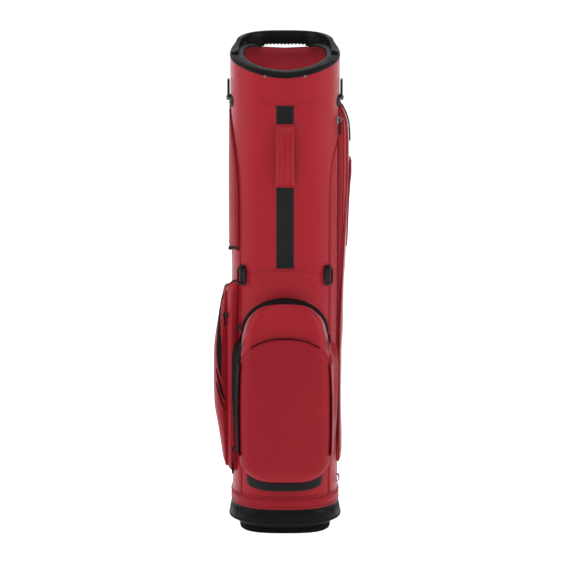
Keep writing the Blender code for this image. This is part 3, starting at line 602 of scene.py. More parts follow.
MATERIALS = {
    "red_satin": satin("red_satin", RED, (1.0, 0.80, 0.88, 1), 0.9, roughness=(0.34, 0.40), specular=0.12),
    "red_sheen": satin("red_sheen", RED, (1.0, 0.90, 0.96, 1), 1.0, roughness=(0.34, 0.40), specular=0.35),
    "red_matte": satin("red_matte", (0.290, 0.0122, 0.0195), sheen=0.04),
    "red_pocket": satin("red_pocket", (0.246, 0.0086, 0.0156), sheen=0.06),
    # painted light: the lining's red is lighter than the shell's, making up for the shade inside the mouth
    "red_lining": lining("red_lining", (0.460, 0.0360, 0.0500)),
    "red_shadow": satin("red_shadow", (0.060, 0.0030, 0.0045), sheen=0.02, roughness=(0.6, 0.7)),
    "red_trim": satin("red_trim", (0.248, 0.0088, 0.0156), sheen=0.06, pitch=1.4 * MM),
    "red_thread": webbing("red_thread", (0.330, 0.0150, 0.0240), 0.5 * MM),
    "black_thread": webbing("black_thread", (0.010, 0.010, 0.011), 0.5 * MM),
    "webbing": webbing("webbing", (0.0105, 0.0110, 0.0115)),
    "black_fabric": satin("black_fabric", (0.0062, 0.0022, 0.0024), (1, 0.8, 0.85, 1), 0.0, 1.2 * MM,
                          (0.7, 0.8)),
    "zip_coil": moulded("zip_coil", (0.0042, 0.0038, 0.0042), 0.42, 0.14, 0.6 * MM),
    "black_plastic": moulded("black_plastic", (0.0030, 0.0031, 0.0032), 0.46, 0.10),
    "ring_plastic": moulded("ring_plastic", (0.0045, 0.0046, 0.0050), 0.36, 0.16, 0.8 * MM, 0.015 * MM),
    "black_rubber": moulded("black_rubber", (0.0036, 0.0036, 0.0034), 0.72, 0.07, 1.6 * MM, 0.08 * MM),
    "grey_plastic": moulded("grey_plastic", (0.17, 0.17, 0.18), 0.4, 0.45, 0.8 * MM, 0.02 * MM,
                            (0.3, 0.3, 0.31)),
    "gunmetal": brushed("gunmetal", (0.16, 0.165, 0.175), 0.34, (1, 1, 3), 0.002),
    "dark_metal": brushed("dark_metal", (0.022, 0.022, 0.024), 0.4, (1, 1, 3), 0.002),
    "aluminium": brushed("aluminium", (0.62, 0.63, 0.65), 0.3),
    "steel": brushed("steel", (0.52, 0.53, 0.55), 0.3, (1, 1, 20)),
}
SLOT_OF = {
    **dict.fromkeys(("red_satin", "red_matte", "red_sheen", "red_pocket", "red_lining", "red_shadow",
                     "red_trim", "red_thread"), "red_fabric"),
    **dict.fromkeys(("black_thread", "webbing", "black_fabric"), "black_fabric"),
    **dict.fromkeys(("zip_coil", "black_plastic", "ring_plastic"), "black_plastic"),
    **dict.fromkeys(("grey_plastic", "gunmetal", "dark_metal"), "grey_plastic"),
    **{name: name for name in ("black_rubber", "aluminium", "steel")},
}


# ---- Studio ----------------------------------------------------------------------------------------------

def make_camera():
    data = bpy.data.cameras.new("camera")
    data.lens, data.sensor_width = 325, 36
    data.clip_end = 100
    camera = bpy.data.objects.new("camera", data)
    bpy.context.scene.collection.objects.link(camera)
    target, distance, elevation = Vector((-0.0053, 0, 0.435)), 9.0, radians(10)
    camera.location = target + Vector((0, -cos(elevation), sin(elevation))) * distance
    camera.rotation_euler = (target - camera.location).to_track_quat("-Z", "Y").to_euler()
    bpy.context.scene.camera = camera


def make_light(name, place, aim, size, power, colour=(1, 1, 1)):
    data = bpy.data.lights.new(name, "AREA")
    data.shape, data.size, data.size_y = "RECTANGLE", *size
    data.energy, data.color = power, colour
    light = bpy.data.objects.new(name, data)
    bpy.context.scene.collection.objects.link(light)
    light.location = place
    light.rotation_euler = (Vector(aim) - Vector(place)).to_track_quat("-Z", "Y").to_euler()


def make_studio():
    shape = bmesh.new()
    bmesh.ops.create_grid(shape, x_segments=1, y_segments=1, size=60)
    mesh = bpy.data.meshes.new("floor")
    shape.to_mesh(mesh)
    shape.free()
    floor = bpy.data.objects.new("floor", mesh)
    bpy.context.scene.collection.objects.link(floor)
    made = Recipe("floor", (0.60, 0.60, 0.60), Roughness=0.95, Specular_IOR_Level=0.0)
    made.shade(made.noise(0.8), 0.004)
    made.shader.inputs["Emission Color"].default_value = (1, 1, 1, 1)
    made.shader.inputs["Emission Strength"].default_value = 0.93
    mesh.materials.append(made.material)
    world = bpy.data.worlds.new("studio")
    bpy.context.scene.world = world
    world.use_nodes = True
    world.node_tree.nodes["Background"].inputs["Color"].default_value = (1, 1, 1, 1)
    world.node_tree.nodes["Background"].inputs["Strength"].default_value = 0.20
    aim = (0, 0, 0.45)
    make_light("key", (-0.9, -3.2, 1.9), aim, (1.8, 1.8), 26)
    make_light("fill", (1.6, -2.8, 1.0), aim, (1.4, 2.0), 11)
    make_light("rim_left", (-2.3, -0.30, 1.35), (0, 0, 0.74), (0.7, 1.0), 22, (1.0, 0.96, 1.0))
    make_light("rim_right", (2.3, -0.30, 1.35), (0, 0, 0.74), (0.7, 1.0), 24, (1.0, 0.96, 1.0))
    make_light("top", (0, -0.2, 3.6), aim, (3.2, 3.2), 42)
    make_light("back", (0, 3.4, 1.8), aim, (3.0, 2.0), 24)
    make_light("mouth", (0, -0.42, 1.75), (0, 0.08, 0.8), (0.35, 0.35), 1.6)
    scene = bpy.context.scene
    scene.view_settings.view_transform = "Standard"
    scene.view_settings.look = "None"


make_camera()
make_studio()


# ---- Shell and mouth -------------------------------------------------------------------------------------

def line_inside(thing, material):
    """Gives the faces that look towards the bag's middle another finish."""
    thing.data.materials.append(MATERIALS[material])
    for face in thing.data.polygons:
        if face.center.x * face.normal.x + face.center.y * face.normal.y < -0.3 * face.center.xy.length:
            face.material_index = 1


def fabric_rise(u, z, top, turn):
    """How far a panel's cloth stands off the shell's plan at u across it, -1 to 1."""
    ends = soft_ramp(z, SHELL_BOTTOM, SHELL_BOTTOM + 60 * MM) * soft_ramp(top - z, 0, 50 * MM)
    seam = 0.55 * MM * (1 - bulge(u, 14))
    folds = 0.28 * MM * wobble((turn * GIRTH, 0, z * 0.45), 0.055, 2.0) * ends
    return 0.35 * MM * bulge(u, 3) + folds - seam


PANEL_STEP = 0.0052                 # between a panel's columns of points, in turns
SEAM_GAP = 0.0003                   # half the gap between two panels, in turns
STITCH_OFFSET = 0.0062              # from a seam to the stitches beside it, in turns
DRIFTS = {                          # of the front's two seams towards the sides, by height in mm, in turns
    -0.14: ((0, 0.0), (560, 0.002), (600, 0.004), (640, 0.007), (675, 0.020), (705, 0.038), (733, 0.068),
            (750, 0.098), (775, 0.110), (860, 0.112)),
    0.14: ((0, 0.0), (590, 0.0), (620, 0.002), (648, 0.007), (672, 0.024), (695, 0.054), (715, 0.084),
           (740, 0.105), (775, 0.110), (860, 0.112)),
}


def seam_turn(seam, z):
    """Where a seam is at height z: the front's two seams swing round to the sides near the mouth."""
    if seam not in DRIFTS:
        return seam
    return seam + smooth(DRIFTS[seam], z / MM, 1) * (1 if seam > 0 else -1)


def make_panels():
    """The four sewn panels, crowned a little between their seams, with a lining inside."""
    names = ("left_panel", "front_panel", "right_panel", "rear_panel")
    edges = (*SEAMS, SEAMS[0])
    for name, first, last in zip(names, edges, edges[1:]):
        lap = 1 if name == "rear_panel" else 0
        steps = ceil((last + lap - first) / PANEL_STEP)
        drop = 1.2 * MM if name == "rear_panel" else 0.3 * MM

        def turn_across(z, share):
            start, end = seam_turn(first, z) + SEAM_GAP, seam_turn(last, z) + lap - SEAM_GAP
            return start + (end - start) * share

        columns = []
        for share_across in spread(0, 1, steps):
            u = 2 * share_across - 1
            turn = turn_across(SHELL_TOP, share_across)
            top = at_rim(turn, 0, -drop - rim_lip(turn)).z
            outer, inner = [], []
            for share in spread(0, 1, 110):
                z = SHELL_BOTTOM + (top - SHELL_BOTTOM) * share
                turn = turn_across(z, share_across)
                outer.append(on_shell(turn, z, fabric_rise(u, z, top, turn)))
                inner.append(on_shell(turn, z, -WALL))
            columns.append(outer + inner[::-1])
        thing = loft(f"shell_{name}", columns, "red_satin", replaces=(name,))
        line_inside(thing, "red_lining")


def make_seams():
    """A corded seam and a row of stitches each side of it, where panels meet."""
    for number, seam in enumerate(SEAMS):
        turn = seam_turn(seam, SHELL_TOP)
        top = at_rim(turn, 0, -rim_lip(turn) - 1.6 * MM).z
        heights = spread(SHELL_BOTTOM + 1 * MM, top, 90)
        points, _ = shell_line([(seam_turn(seam, z), z) for z in heights], -0.1 * MM)
        tube(f"seam_cord_{number}", points, 0.95 * MM, "red_satin", sides=8)
        rows = [shell_line([(seam_turn(seam, z) + side * STITCH_OFFSET, z) for z in heights], 0.15 * MM)
                for side in (-1, 1)]
        stitches(f"seam_stitches_{number}", rows)
    welts = (
        ("yoke_welt", [(-46, 774), (-40, 772), (-26, 769.5), (-8, 768), (8, 768), (26, 769.5), (42, 772),
                       (56, 775)]),
        ("belly_welt", [(-70, 466), (-60, 470), (-40, 473.5), (-17, 475), (17, 475), (40, 473.5), (60, 470),
                        (70, 466)]),
    )
    for name, places in welts:
        line = rounded([(x * MM, 0, z * MM) for x, z in places], 2.5 * MM)
        flat = [(p.x, p.z) for p in line]
        points, _ = front_line(flat, 0.25 * MM)
        tube(name, points, 0.75 * MM, "red_satin", sides=8)
        below = [(x, z - 3.2 * MM) for x, z in flat]
        stitches(f"{name}_stitches", [front_line(below, 0.45 * MM)])


def make_lining():
    """The padded collar and lining inside the mouth, down to the base."""
    rings = []
    for turn in spread(0, 1, 200)[:-1]:
        over = soft_ramp(abs(turn - 0.5), 0.100, 0.072)
        fall = soft_ramp(abs(turn - 0.5), 0.36, 0.27)
        section = [(-23.6 + 20.4 * over, -3.0 + 2.6 * over), (-23.8 + 12.8 * over, -3.4 + 4.2 * over),
                   (-23.9 + 4.9 * over, -3.9 + 4.5 * over), (-24.0 + 1.4 * over, -4.6 + 3.2 * over),
                   (-24.1, -6.4 + 1.0 * over), (-24.1, -10), (-23.7, -13.2), (-21.6 - 1.9 * fall, -16.2),
                   (-16.5 - 6.8 * fall, -19.5), (-11.6 - 11.2 * fall, -24), (-9.6 - 12.0 * fall, -33),
                   (-9.2 - 11.2 * fall, -40), (-7.2 - 10 * fall, -52), (-5.0 - 7 * fall, -66), (-4.6, -90)]
        inside = [at_rim(turn, out * MM, above * MM) for out, above in section]
        inside += [on_shell(turn, z, -4.6 * MM) for z in spread(0.70, 0.09, 12)]
        outside = [on_shell(turn, z, -4.15 * MM) for z in spread(0.09, 0.70, 12)]
        outside += [at_rim(turn, min(out + 0.8, -4.2) * MM, (above - 0.2) * MM)
                    for out, above in section[:8:-1]]
        outside += [at_rim(turn, (out + 0.5) * MM, (above - 0.5) * MM) for out, above in section[8::-1]]
        rings.append(inside + outside)
    loft("mouth_lining", rings, "red_lining", closed=True, replaces=())


CUFF_INSIDE = -4.6                  # where the rim's outer face turns in behind the shell
CUFF_SECTION = (                    # the rim's section: out from the shell and up from the rim's top, in mm
    (0.2, -10.2), (1.0, -9.9), (1.3, -9.2), (1.35, -6.5), (1.3, -4.2), (0.9, -2.4), (-0.1, -1.1),
    (-1.8, -0.35), (-4.5, 0.0), (-10, 0.25), (-15.5, 0.2), (-18.6, -0.15), (-20.8, -1.0), (-22.2, -2.6),
    (-22.8, -4.8), (-23.0, -8), (-22.9, -12), (-22.3, -13.8), (-20.8, -14.6), (-16, -16.4), (-9.4, -18.6),
    (-4.8, -19), (CUFF_INSIDE, -10.2),
)


def make_cuff():
    """The moulded rim, with a shallow groove round its outer face."""
    rings = []
    for turn in spread(0, 1, 240)[:-1]:
        lip = rim_lip(turn) / RIM_LIP
        rings.append([
            at_rim(turn, out * MM, above * (lip if out > 0 or out == CUFF_INSIDE else 1) * MM)
            for out, above in CUFF_SECTION
        ])
    loft("rim", rings, "black_plastic", closed=True, replaces=("top_cuff",))
    shape = bmesh.new()
    line = [at_rim(turn, 1.32 * MM, -0.81 * rim_lip(turn)) for turn in spread(0, 1, 240)[:-1]]
    add_tube(shape, line, 0.42 * MM, 6, closed=True)
    piece("rim_bead", shape, "black_plastic")


def handle_plan(share):
    """The grab handle's middle line in plan, from the left end (-1) round the rear to the right end (1)."""
    x, y = superellipse(share * radians(93), 84 * MM, 136 * MM, 2.6)
    return x, -y


RIB_PITCH = 6.6 * MM
RIB_REACH = 50 * MM


def make_cuff_handle():
    """The grab handle: it rises from the rim's sides and bows past its rear, ribbed underneath."""
    rings = []
    for share in spread(-1, 1, 300):
        x, y = handle_plan(share)
        ahead, behind = handle_plan(share + 0.01), handle_plan(share - 0.01)
        side = Vector((behind[1] - ahead[1], ahead[0] - behind[0], 0)).normalized()
        middle = 1 - abs(share) ** 3
        half = (3.0 + 2.5 * middle) * MM
        web = 20 * MM * soft_ramp(abs(x), 47 * MM, 55 * MM) * soft_ramp(abs(x), 80 * MM, 72 * MM)
        hang = 4.4 + 5.4 * soft_ramp(abs(x), 34 * MM, 54 * MM)
        low = rim_height(x, y, 0.7 * MM) - 6 * MM * soft_ramp(abs(x), 54 * MM, 40 * MM)
        low -= hang * MM * soft_ramp(abs(x), 84 * MM, 64 * MM)
        flare = 8 * MM * soft_ramp(abs(share), 0.66, 1.0)
        full = TOTAL_HEIGHT - 7 * MM * (1 - middle)
        high = low + 5 * MM + (full - low - 5 * MM) * soft_ramp(1 - abs(share), 0.0, 0.26)
        rib = 0.0
        if abs(x) < RIB_REACH:
            rib = 5.0 * MM * (1 - abs(cos(pi * x / RIB_PITCH)) ** 1.5) * ramp(RIB_REACH - abs(x), 0, 4 * MM)
        ring = []
        for out, z in (
            (-half - web, low + 0.2 * MM + rib), (-half + 0.8 * MM, low + rib), (0, low + rib),
            (half * 0.72 + flare, low + rib), (half + flare, low + rib + 1.0 * MM),
            (half + flare * 0.55, (low + high) / 2), (half, high - 2.6 * MM),
            (half * 0.85, high - 1.1 * MM), (half * 0.5, high - 0.2 * MM), (0, high),
            (-half * 0.5, high - 0.2 * MM), (-half * 0.85, high - 1.1 * MM), (-half, high - 2.6 * MM),
            (-half, (low + high) / 2 + 1 * MM),
            (-half - 0.2 * MM, low + 4.6 * MM), (-half - web * 0.35 - 0.2 * MM, low + 2.9 * MM),
            (-half - web, low + 2.3 * MM),
        ):
            ring.append(Vector((x, y, z)) + side * out)
        rings.append(ring)
    loft("grab_handle", rings, "black_plastic", replaces=("cuff_handle",), sharp=48)


def make_rivets():
    """The two domed rivets on the rim's near side."""
    profile = in_mm(((2.4, 0), (2.45, 0.5), (2.25, 1.0), (1.8, 1.3), (1.3, 1.36), (1.15, 1.2), (1.0, 0.9),
                     (0.2, 0.85)))
    for side, sign in SIDES.items():
        low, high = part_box(f"cuff_rivet_{side}")
        way = outward(turn_at_x(sign * 34 * MM, SHELL_TOP))
        middle = (low + high) / 2
        middle.z -= 4.2 * MM
        turned(f"rim_rivet_{side}", profile, middle - way * 0.75 * MM, way, "gunmetal", 24,
               replaces=(f"cuff_rivet_{side}",))


def plus_outline(thick, reach_x, reach_y, corner=1.0 * MM):
    """The outline of a cross, anticlockwise, its inner corners filled a little."""
    half = thick / 2
    points = []
    for step, reach in enumerate((reach_x, reach_y) * 2):
        turn = Matrix.Rotation(step * pi / 2, 2)
        for x, y in ((reach, -half), (reach, half), (half + corner, half), (half, half + corner)):
            points.append(turn @ Vector((x, y)))
    return points


def make_dividers():
    """The cross of padded bars in the mouth, and the cloth under it."""
    def ring(thick, reach_x, reach_y, z, shrink=0.0):
        outline = plus_outline(thick - 2 * shrink, reach_x - shrink, reach_y - shrink)
        return [Vector((p.x, p.y, z)) for p in outline]

    low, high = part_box("divider_bars")
    profile = ((2.2, 0), (0.7, 0.6), (0, 2.0), (0, 7), (0, 12), (0.7, 13.4), (2.2, 14))
    rings = [ring(8 * MM, high.x, high.y, low.z + z * MM, s * MM) for s, z in profile]
    loft("divider_cross", rings, "black_fabric", replaces=("divider_bars",), sharp=60)
    low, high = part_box("divider_sheets")
    rings = [ring(2 * MM, high.x, high.y, z) for z in spread(low.z, high.z, 24)]
    loft("divider_cloth", rings, "red_lining", replaces=("divider_sheets",))


make_panels()
make_seams()
make_lining()
make_cuff()
make_cuff_handle()
make_rivets()
make_dividers()


# ---- Ball pocket -----------------------------------------------------------------------------------------

BALL_ROWS = (                       # height, half width outside and at the shell, depth: in millimetres
    (103.6, 26, 26, 28), (104.6, 38, 38, 34), (107, 50, 50, 39), (112, 61, 60, 43), (118, 69, 67, 45),
    (126, 76, 73, 46.5), (140, 81.5, 78, 47), (200, 83.2, 79, 48), (270, 83, 79, 47.5), (318, 81.5, 78, 46),
    (336, 77.6, 76, 44.5), (345, 76.2, 75, 43.5), (357, 74.2, 73.6, 41), (364, 72.3, 72, 39.5),
    (378, 69, 69, 37), (390, 63.5, 63.5, 35.3), (399, 56.5, 56.5, 34), (409.5, 45, 45, 31.5),
    (415, 33, 33, 29.5), (418.4, 18, 18, 27),
)
FRONT_ROWS = (                      # likewise, of the flat pocket on its face: height, half width, thickness
    (103.4, 12, 4.2), (104.6, 29, 5), (107.5, 44, 5.6), (112.5, 57, 6.2), (118.3, 66, 6.8), (125, 73, 7.2),
    (133, 78, 7.5), (150, 81.3, 7.8), (240, 82.5, 8.2), (305, 80, 7.8),
    (330, 73, 7.2), (343, 58, 6.5), (352, 42, 6), (357, 24, 5.4), (358.4, 10, 5),
)
BALL_CORNER, PANEL_CORNER = 4.5, 6.0  # how square the two are in plan
ARCH_CENTRE = Vector((0, -75.1 * MM, 361.1 * MM))
ARCH_TILT = radians(31)
ARCH_RADIUS = 74.5 * MM


def ball_front(x, z):
    """The ball pocket's front face at x and z, as a y, with slow dents in the cloth."""
    high = z / MM
    half, inside = smooth(BALL_ROWS, high, 1) * MM, smooth(BALL_ROWS, high, 2) * MM
    side = -on_shell(turn_at_x(inside, z), z).y + 6 * MM
    front = between(HALF_DEPTH, z) + smooth(BALL_ROWS, high, 3) * MM
    share = bulge(min(abs(x) / half, 1), BALL_CORNER)
    return -(side + (front - side) * share + 0.5 * MM * wobble((x, 0, z * 0.7), 0.05, 5) * share)


def rows_between(rows, pitch):
    """Heights through the rows, closer together at both ends."""
    low, high = rows[0][0], rows[-1][0]
    middle, half = (low + high) / 2, (high - low) / 2
    return [middle + half * share for share in crowded(ceil((high - low) / pitch))]


def make_ball_body():
    rings = []
    shares = crowded(56)
    for high in rows_between(BALL_ROWS, 3.2):
        z = high * MM
        half, inside = smooth(BALL_ROWS, high, 1) * MM, smooth(BALL_ROWS, high, 2) * MM
        skin = [Vector((half * u, ball_front(half * u, z), z)) for u in shares]
        back = [front_point((inside - 1 * MM) * u, z, 0.9 * MM) for u in shares]
        rings.append([front_point(-inside, z, 0.9 * MM), *skin, front_point(inside, z, 0.9 * MM),
                      *back[::-1]])
    loft("ball_pocket_body", rings, "red_satin", replaces=("ball_pocket",), sharp=50)


def panel_front(x, z, share):
    """The face of the flat pocket on the ball pocket; share is how far x is towards its edge."""
    high = z / MM
    crown = 1.6 * MM * bulge(share, 2.2) * sin(pi * ramp(high, 100, 368)) ** 0.6
    thick = 1.5 * MM + (smooth(FRONT_ROWS, high, 2) - 1.5) * MM * bulge(share, PANEL_CORNER)
    dents = 0.55 * MM * wobble((x, 0, z * 0.6), 0.06, 9) * bulge(share, 4)
    return ball_front(x, z) - 1.6 * MM - thick - crown - dents


def make_ball_panel():
    rings = []
    shares = crowded(56)
    for high in rows_between(FRONT_ROWS, 3.2):
        z, half = high * MM, smooth(FRONT_ROWS, high, 1) * MM
        outer = [Vector((half * u, panel_front(half * u, z, u), z)) for u in shares]
        inner = [Vector((half * u, ball_front(half * u, z) - 0.2 * MM, z)) for u in shares]
        rings.append(outer + inner[::-1])
    loft("ball_pocket_panel", rings, "red_pocket", replaces=("ball_pocket_front",), sharp=50)


def panel_outline(inset, steps=60):
    """Points round the flat pocket's edge, up its right side and down its left, with ways out."""
    heights = rows_between(FRONT_ROWS, 360 / steps)
    right, normals = [], []
    for high in heights:
        half = max(smooth(FRONT_ROWS, high, 1) - inset, 2) * MM
        z = high * MM
        if high < 130:
            z += inset * MM * (1 - ramp(high, 104, 130))
        if high > 300:
            z -= inset * MM * ramp(high, 300, 356)
        share = half / (smooth(FRONT_ROWS, high, 1) * MM)
        right.append(Vector((half, panel_front(half, z, share) + 0.1 * MM, z)))
        normals.append(Vector((0.25 * share, -1, 0)).normalized())
    mirror = Matrix.Scale(-1, 4, (1, 0, 0))
    left = [mirror @ p for p in right[::-1]]
    return right + left, normals + [mirror @ n for n in normals[::-1]]


def make_ball_trim():
    """Piping round the flat pocket, a near-black red strip over it that is painted shade in the gap above its
    top, and stitches beside the piping.
    """
    edge, _ = panel_outline(0.8)
    piping("ball_panel_piping", edge, 1.25 * MM)
    inner, normals = panel_outline(4.6)
    stitches("ball_panel_stitches", [(inner, normals)])
    # a near-black red strip along the flat pocket's top, thickest in the middle: painted shade in the gap
    # between it and the ball pocket
    line = []
    for x in spread(-60, 60, 48):
        z = 359.6 - 15.5 * abs(x / 60) ** 2.3
        line.append(Vector((x * MM, ball_front(x * MM, z * MM) - 2.0 * MM, z * MM)))
    tube("ball_panel_gap_shade", line, lambda share: (0.5 + 1.9 * sin(pi * share) ** 0.6) * MM, "red_shadow")
    above = [p + Vector((0, 0.6 * MM, 5.4 * MM)) for p in line]
    stitches("ball_top_stitches", [(above, [Vector((0, -1, 0.1))] * len(above))])


def gusset_section(high, flare):
    """A side wall's section, from the shell to the flat pocket: (x, y) in mm."""
    front = min(smooth(FRONT_ROWS, high, 1) + 1.0, 83.6)
    section = [(flare, -64), (flare * 0.65 + 0.35 * 87.2, -70), (87.0, -77), (85.9, -86), (85.3, -96),
               (84.8, -112), (84.4, -128), (front, -142)]
    if high <= 312:
        return section
    # higher up the wall ends on the pocket's own corner, where the flat pocket rounds off
    edge = smooth(BALL_ROWS, high, 1)
    corner = [(flare, -64), (edge + 4, -70), (edge + 2.6, -78), (edge + 1.6, -86), (edge + 1.2, -94),
              (edge + 0.9, -103), (edge * 0.99 + 0.9, -112),
              (edge * 0.975, ball_front(edge * 0.975 * MM, high * MM) / MM - 1.0)]
    t = soft_ramp(high, 312, 330)
    return [(x0 + (x1 - x0) * t, y0 + (y1 - y0) * t) for (x0, y0), (x1, y1) in zip(section, corner)]


def make_ball_sides():
    """The folding side walls: black with a zip on the left, red on the right."""
    rear = ((150, 84.5), (160, 86), (175, 88.5), (200, 91), (240, 93.2), (300, 93.8), (318, 93.4),
            (336, 90.5), (347, 86), (353, 80))
    for side, sign in SIDES.items():
        rings = []
        for high in rows_between(rear, 4):
            z, section = high * MM, gusset_section(high, smooth(rear, high, 1))
            pinch = soft_ramp(353 - high, 0, 26) * soft_ramp(high - 148, 0, 12)
            outer = []
            for x, y in section:
                wrinkle = 0.5 * wobble((0, y * MM, z), 0.02, 3) * (1 if -125 < y < -70 else 0)
                x = 80 + (x - 80) * pinch + wrinkle * pinch
                outer.append(Vector((sign * x * MM, y * MM, z)))
            inner = [p - Vector((sign * 1.4 * MM, 0, 0)) for p in outer]
            rings.append(outer + inner[::-1])
        loft(f"ball_side_gusset_{side}", rings, "black_fabric" if side == "left" else "red_pocket", sharp=60)
    lines = []
    for y in (-104, -122):
        lines.append(([Vector((85.7 * MM, y * MM, z)) for z in spread(0.165, 0.335, 30)],
                      [Vector((1, -0.1, 0))] * 31))
    stitches("ball_side_stitches", lines)


def arch_way(angle):
    """The way out from the arched zip's centre, at an angle from the top, positive to the right."""
    return Vector((sin(angle), -cos(angle) * sin(ARCH_TILT), cos(angle) * cos(ARCH_TILT)))


def arch_point(angle, radius, forward):
    """A point of the arched gusset, that far forward of the shell."""
    point = ARCH_CENTRE + arch_way(angle) * radius
    x = max(min(point.x, 90 * MM), -90 * MM)
    point.y = on_shell(turn_at_x(x, point.z), point.z).y - forward
    return point


def make_arch():
    """The black gusset over the ball pocket with its coil zip."""
    rings, coil, tape = [], [], []
    end = radians(97)
    for angle in spread(-end, end, 110):
        middle = 1 - abs(angle / end) ** 2.4
        reach = (10 + 10.5 * middle) * MM
        drop = (0.8 + 6.6 * (1 - soft_ramp(abs(angle), radians(20), radians(60)))) * MM
        section = ((1.8, 0.2), (1.9, 0.45), (1.6, 0.75), (0.9, 0.93), (-0.2, 1.0))
        radius = ARCH_RADIUS - (0.5 + 0.8 * sin(2 * angle) ** 2) * MM
        outer = [arch_point(angle, radius + r * MM, 0.6 * MM + reach * f) for r, f in section]
        outer.append(arch_point(angle, radius - drop, reach + 5.5 * MM * middle + 0.8 * MM))
        inner = [arch_point(angle, radius + (r - 1.5) * MM, 0.6 * MM + reach * f * 0.96) for r, f in section]
        inner.append(arch_point(angle, radius - drop - 1.4 * MM, reach + 4.2 * MM * middle))
        rings.append(outer + inner[::-1])
        coil.append(arch_point(angle, radius + 2.1 * MM, 9.6 * MM))
        tape.append(arch_way(angle))
    loft("ball_zip_arch", rings, "black_fabric", replaces=("ball_zip_gusset",), sharp=60)
    make_coil("ball_zip_coil", coil, tape)
    edge = [arch_point(angle, ARCH_RADIUS + 1.6 * MM, 1.3 * MM) for angle in spread(-end, end, 110)]
    tube("ball_arch_piping", edge, 1.1 * MM, "red_satin", sides=8)


COIL_LOOP = ((-0.5, 0), (-0.28, 0.9), (0, 1.15), (0.28, 0.9), (0.5, 0))  # shares of its width and height


def make_coil(name, line, ways, width=2.6 * MM, pitch=1.5 * MM, material="zip_coil"):
    """A zip's coil: a row of small loops along the line, standing out along ways."""
    shape = bmesh.new()
    lengths = lengths_along(line)
    for i in range(int(lengths[-1] / pitch)):
        k, part = find_length(lengths, (i + 0.5) * pitch)
        place = line[k - 1].lerp(line[k], part)
        along = (line[k] - line[k - 1]).normalized()
        out = ways[k].normalized()
        across = along.cross(out).normalized()
        loop = [place + across * width * u + out * 0.55 * MM * v for u, v in COIL_LOOP]
        add_tube(shape, loop, 0.42 * MM, 5, round_ends=False, hint=along)
    piece(name, shape, material, slot=SLOT_OF["zip_coil"], sharp=70)


def piping(name, edge, radius, material="red_pocket"):
    """A round cord along a closed line."""
    tube(name, resample(edge, 3 * MM, True), radius, material, sides=8, closed=True)


make_ball_body()
make_ball_panel()
make_ball_trim()
make_ball_sides()
make_arch()
side_zip = [Vector((-86.2 * MM, -90 * MM, z)) for z in spread(0.150, 0.338, 30)]
make_coil("ball_side_coil", side_zip, [Vector((-1, 0, 0))] * len(side_zip))


# ---- Side pockets ----------------------------------------------------------------------------------------

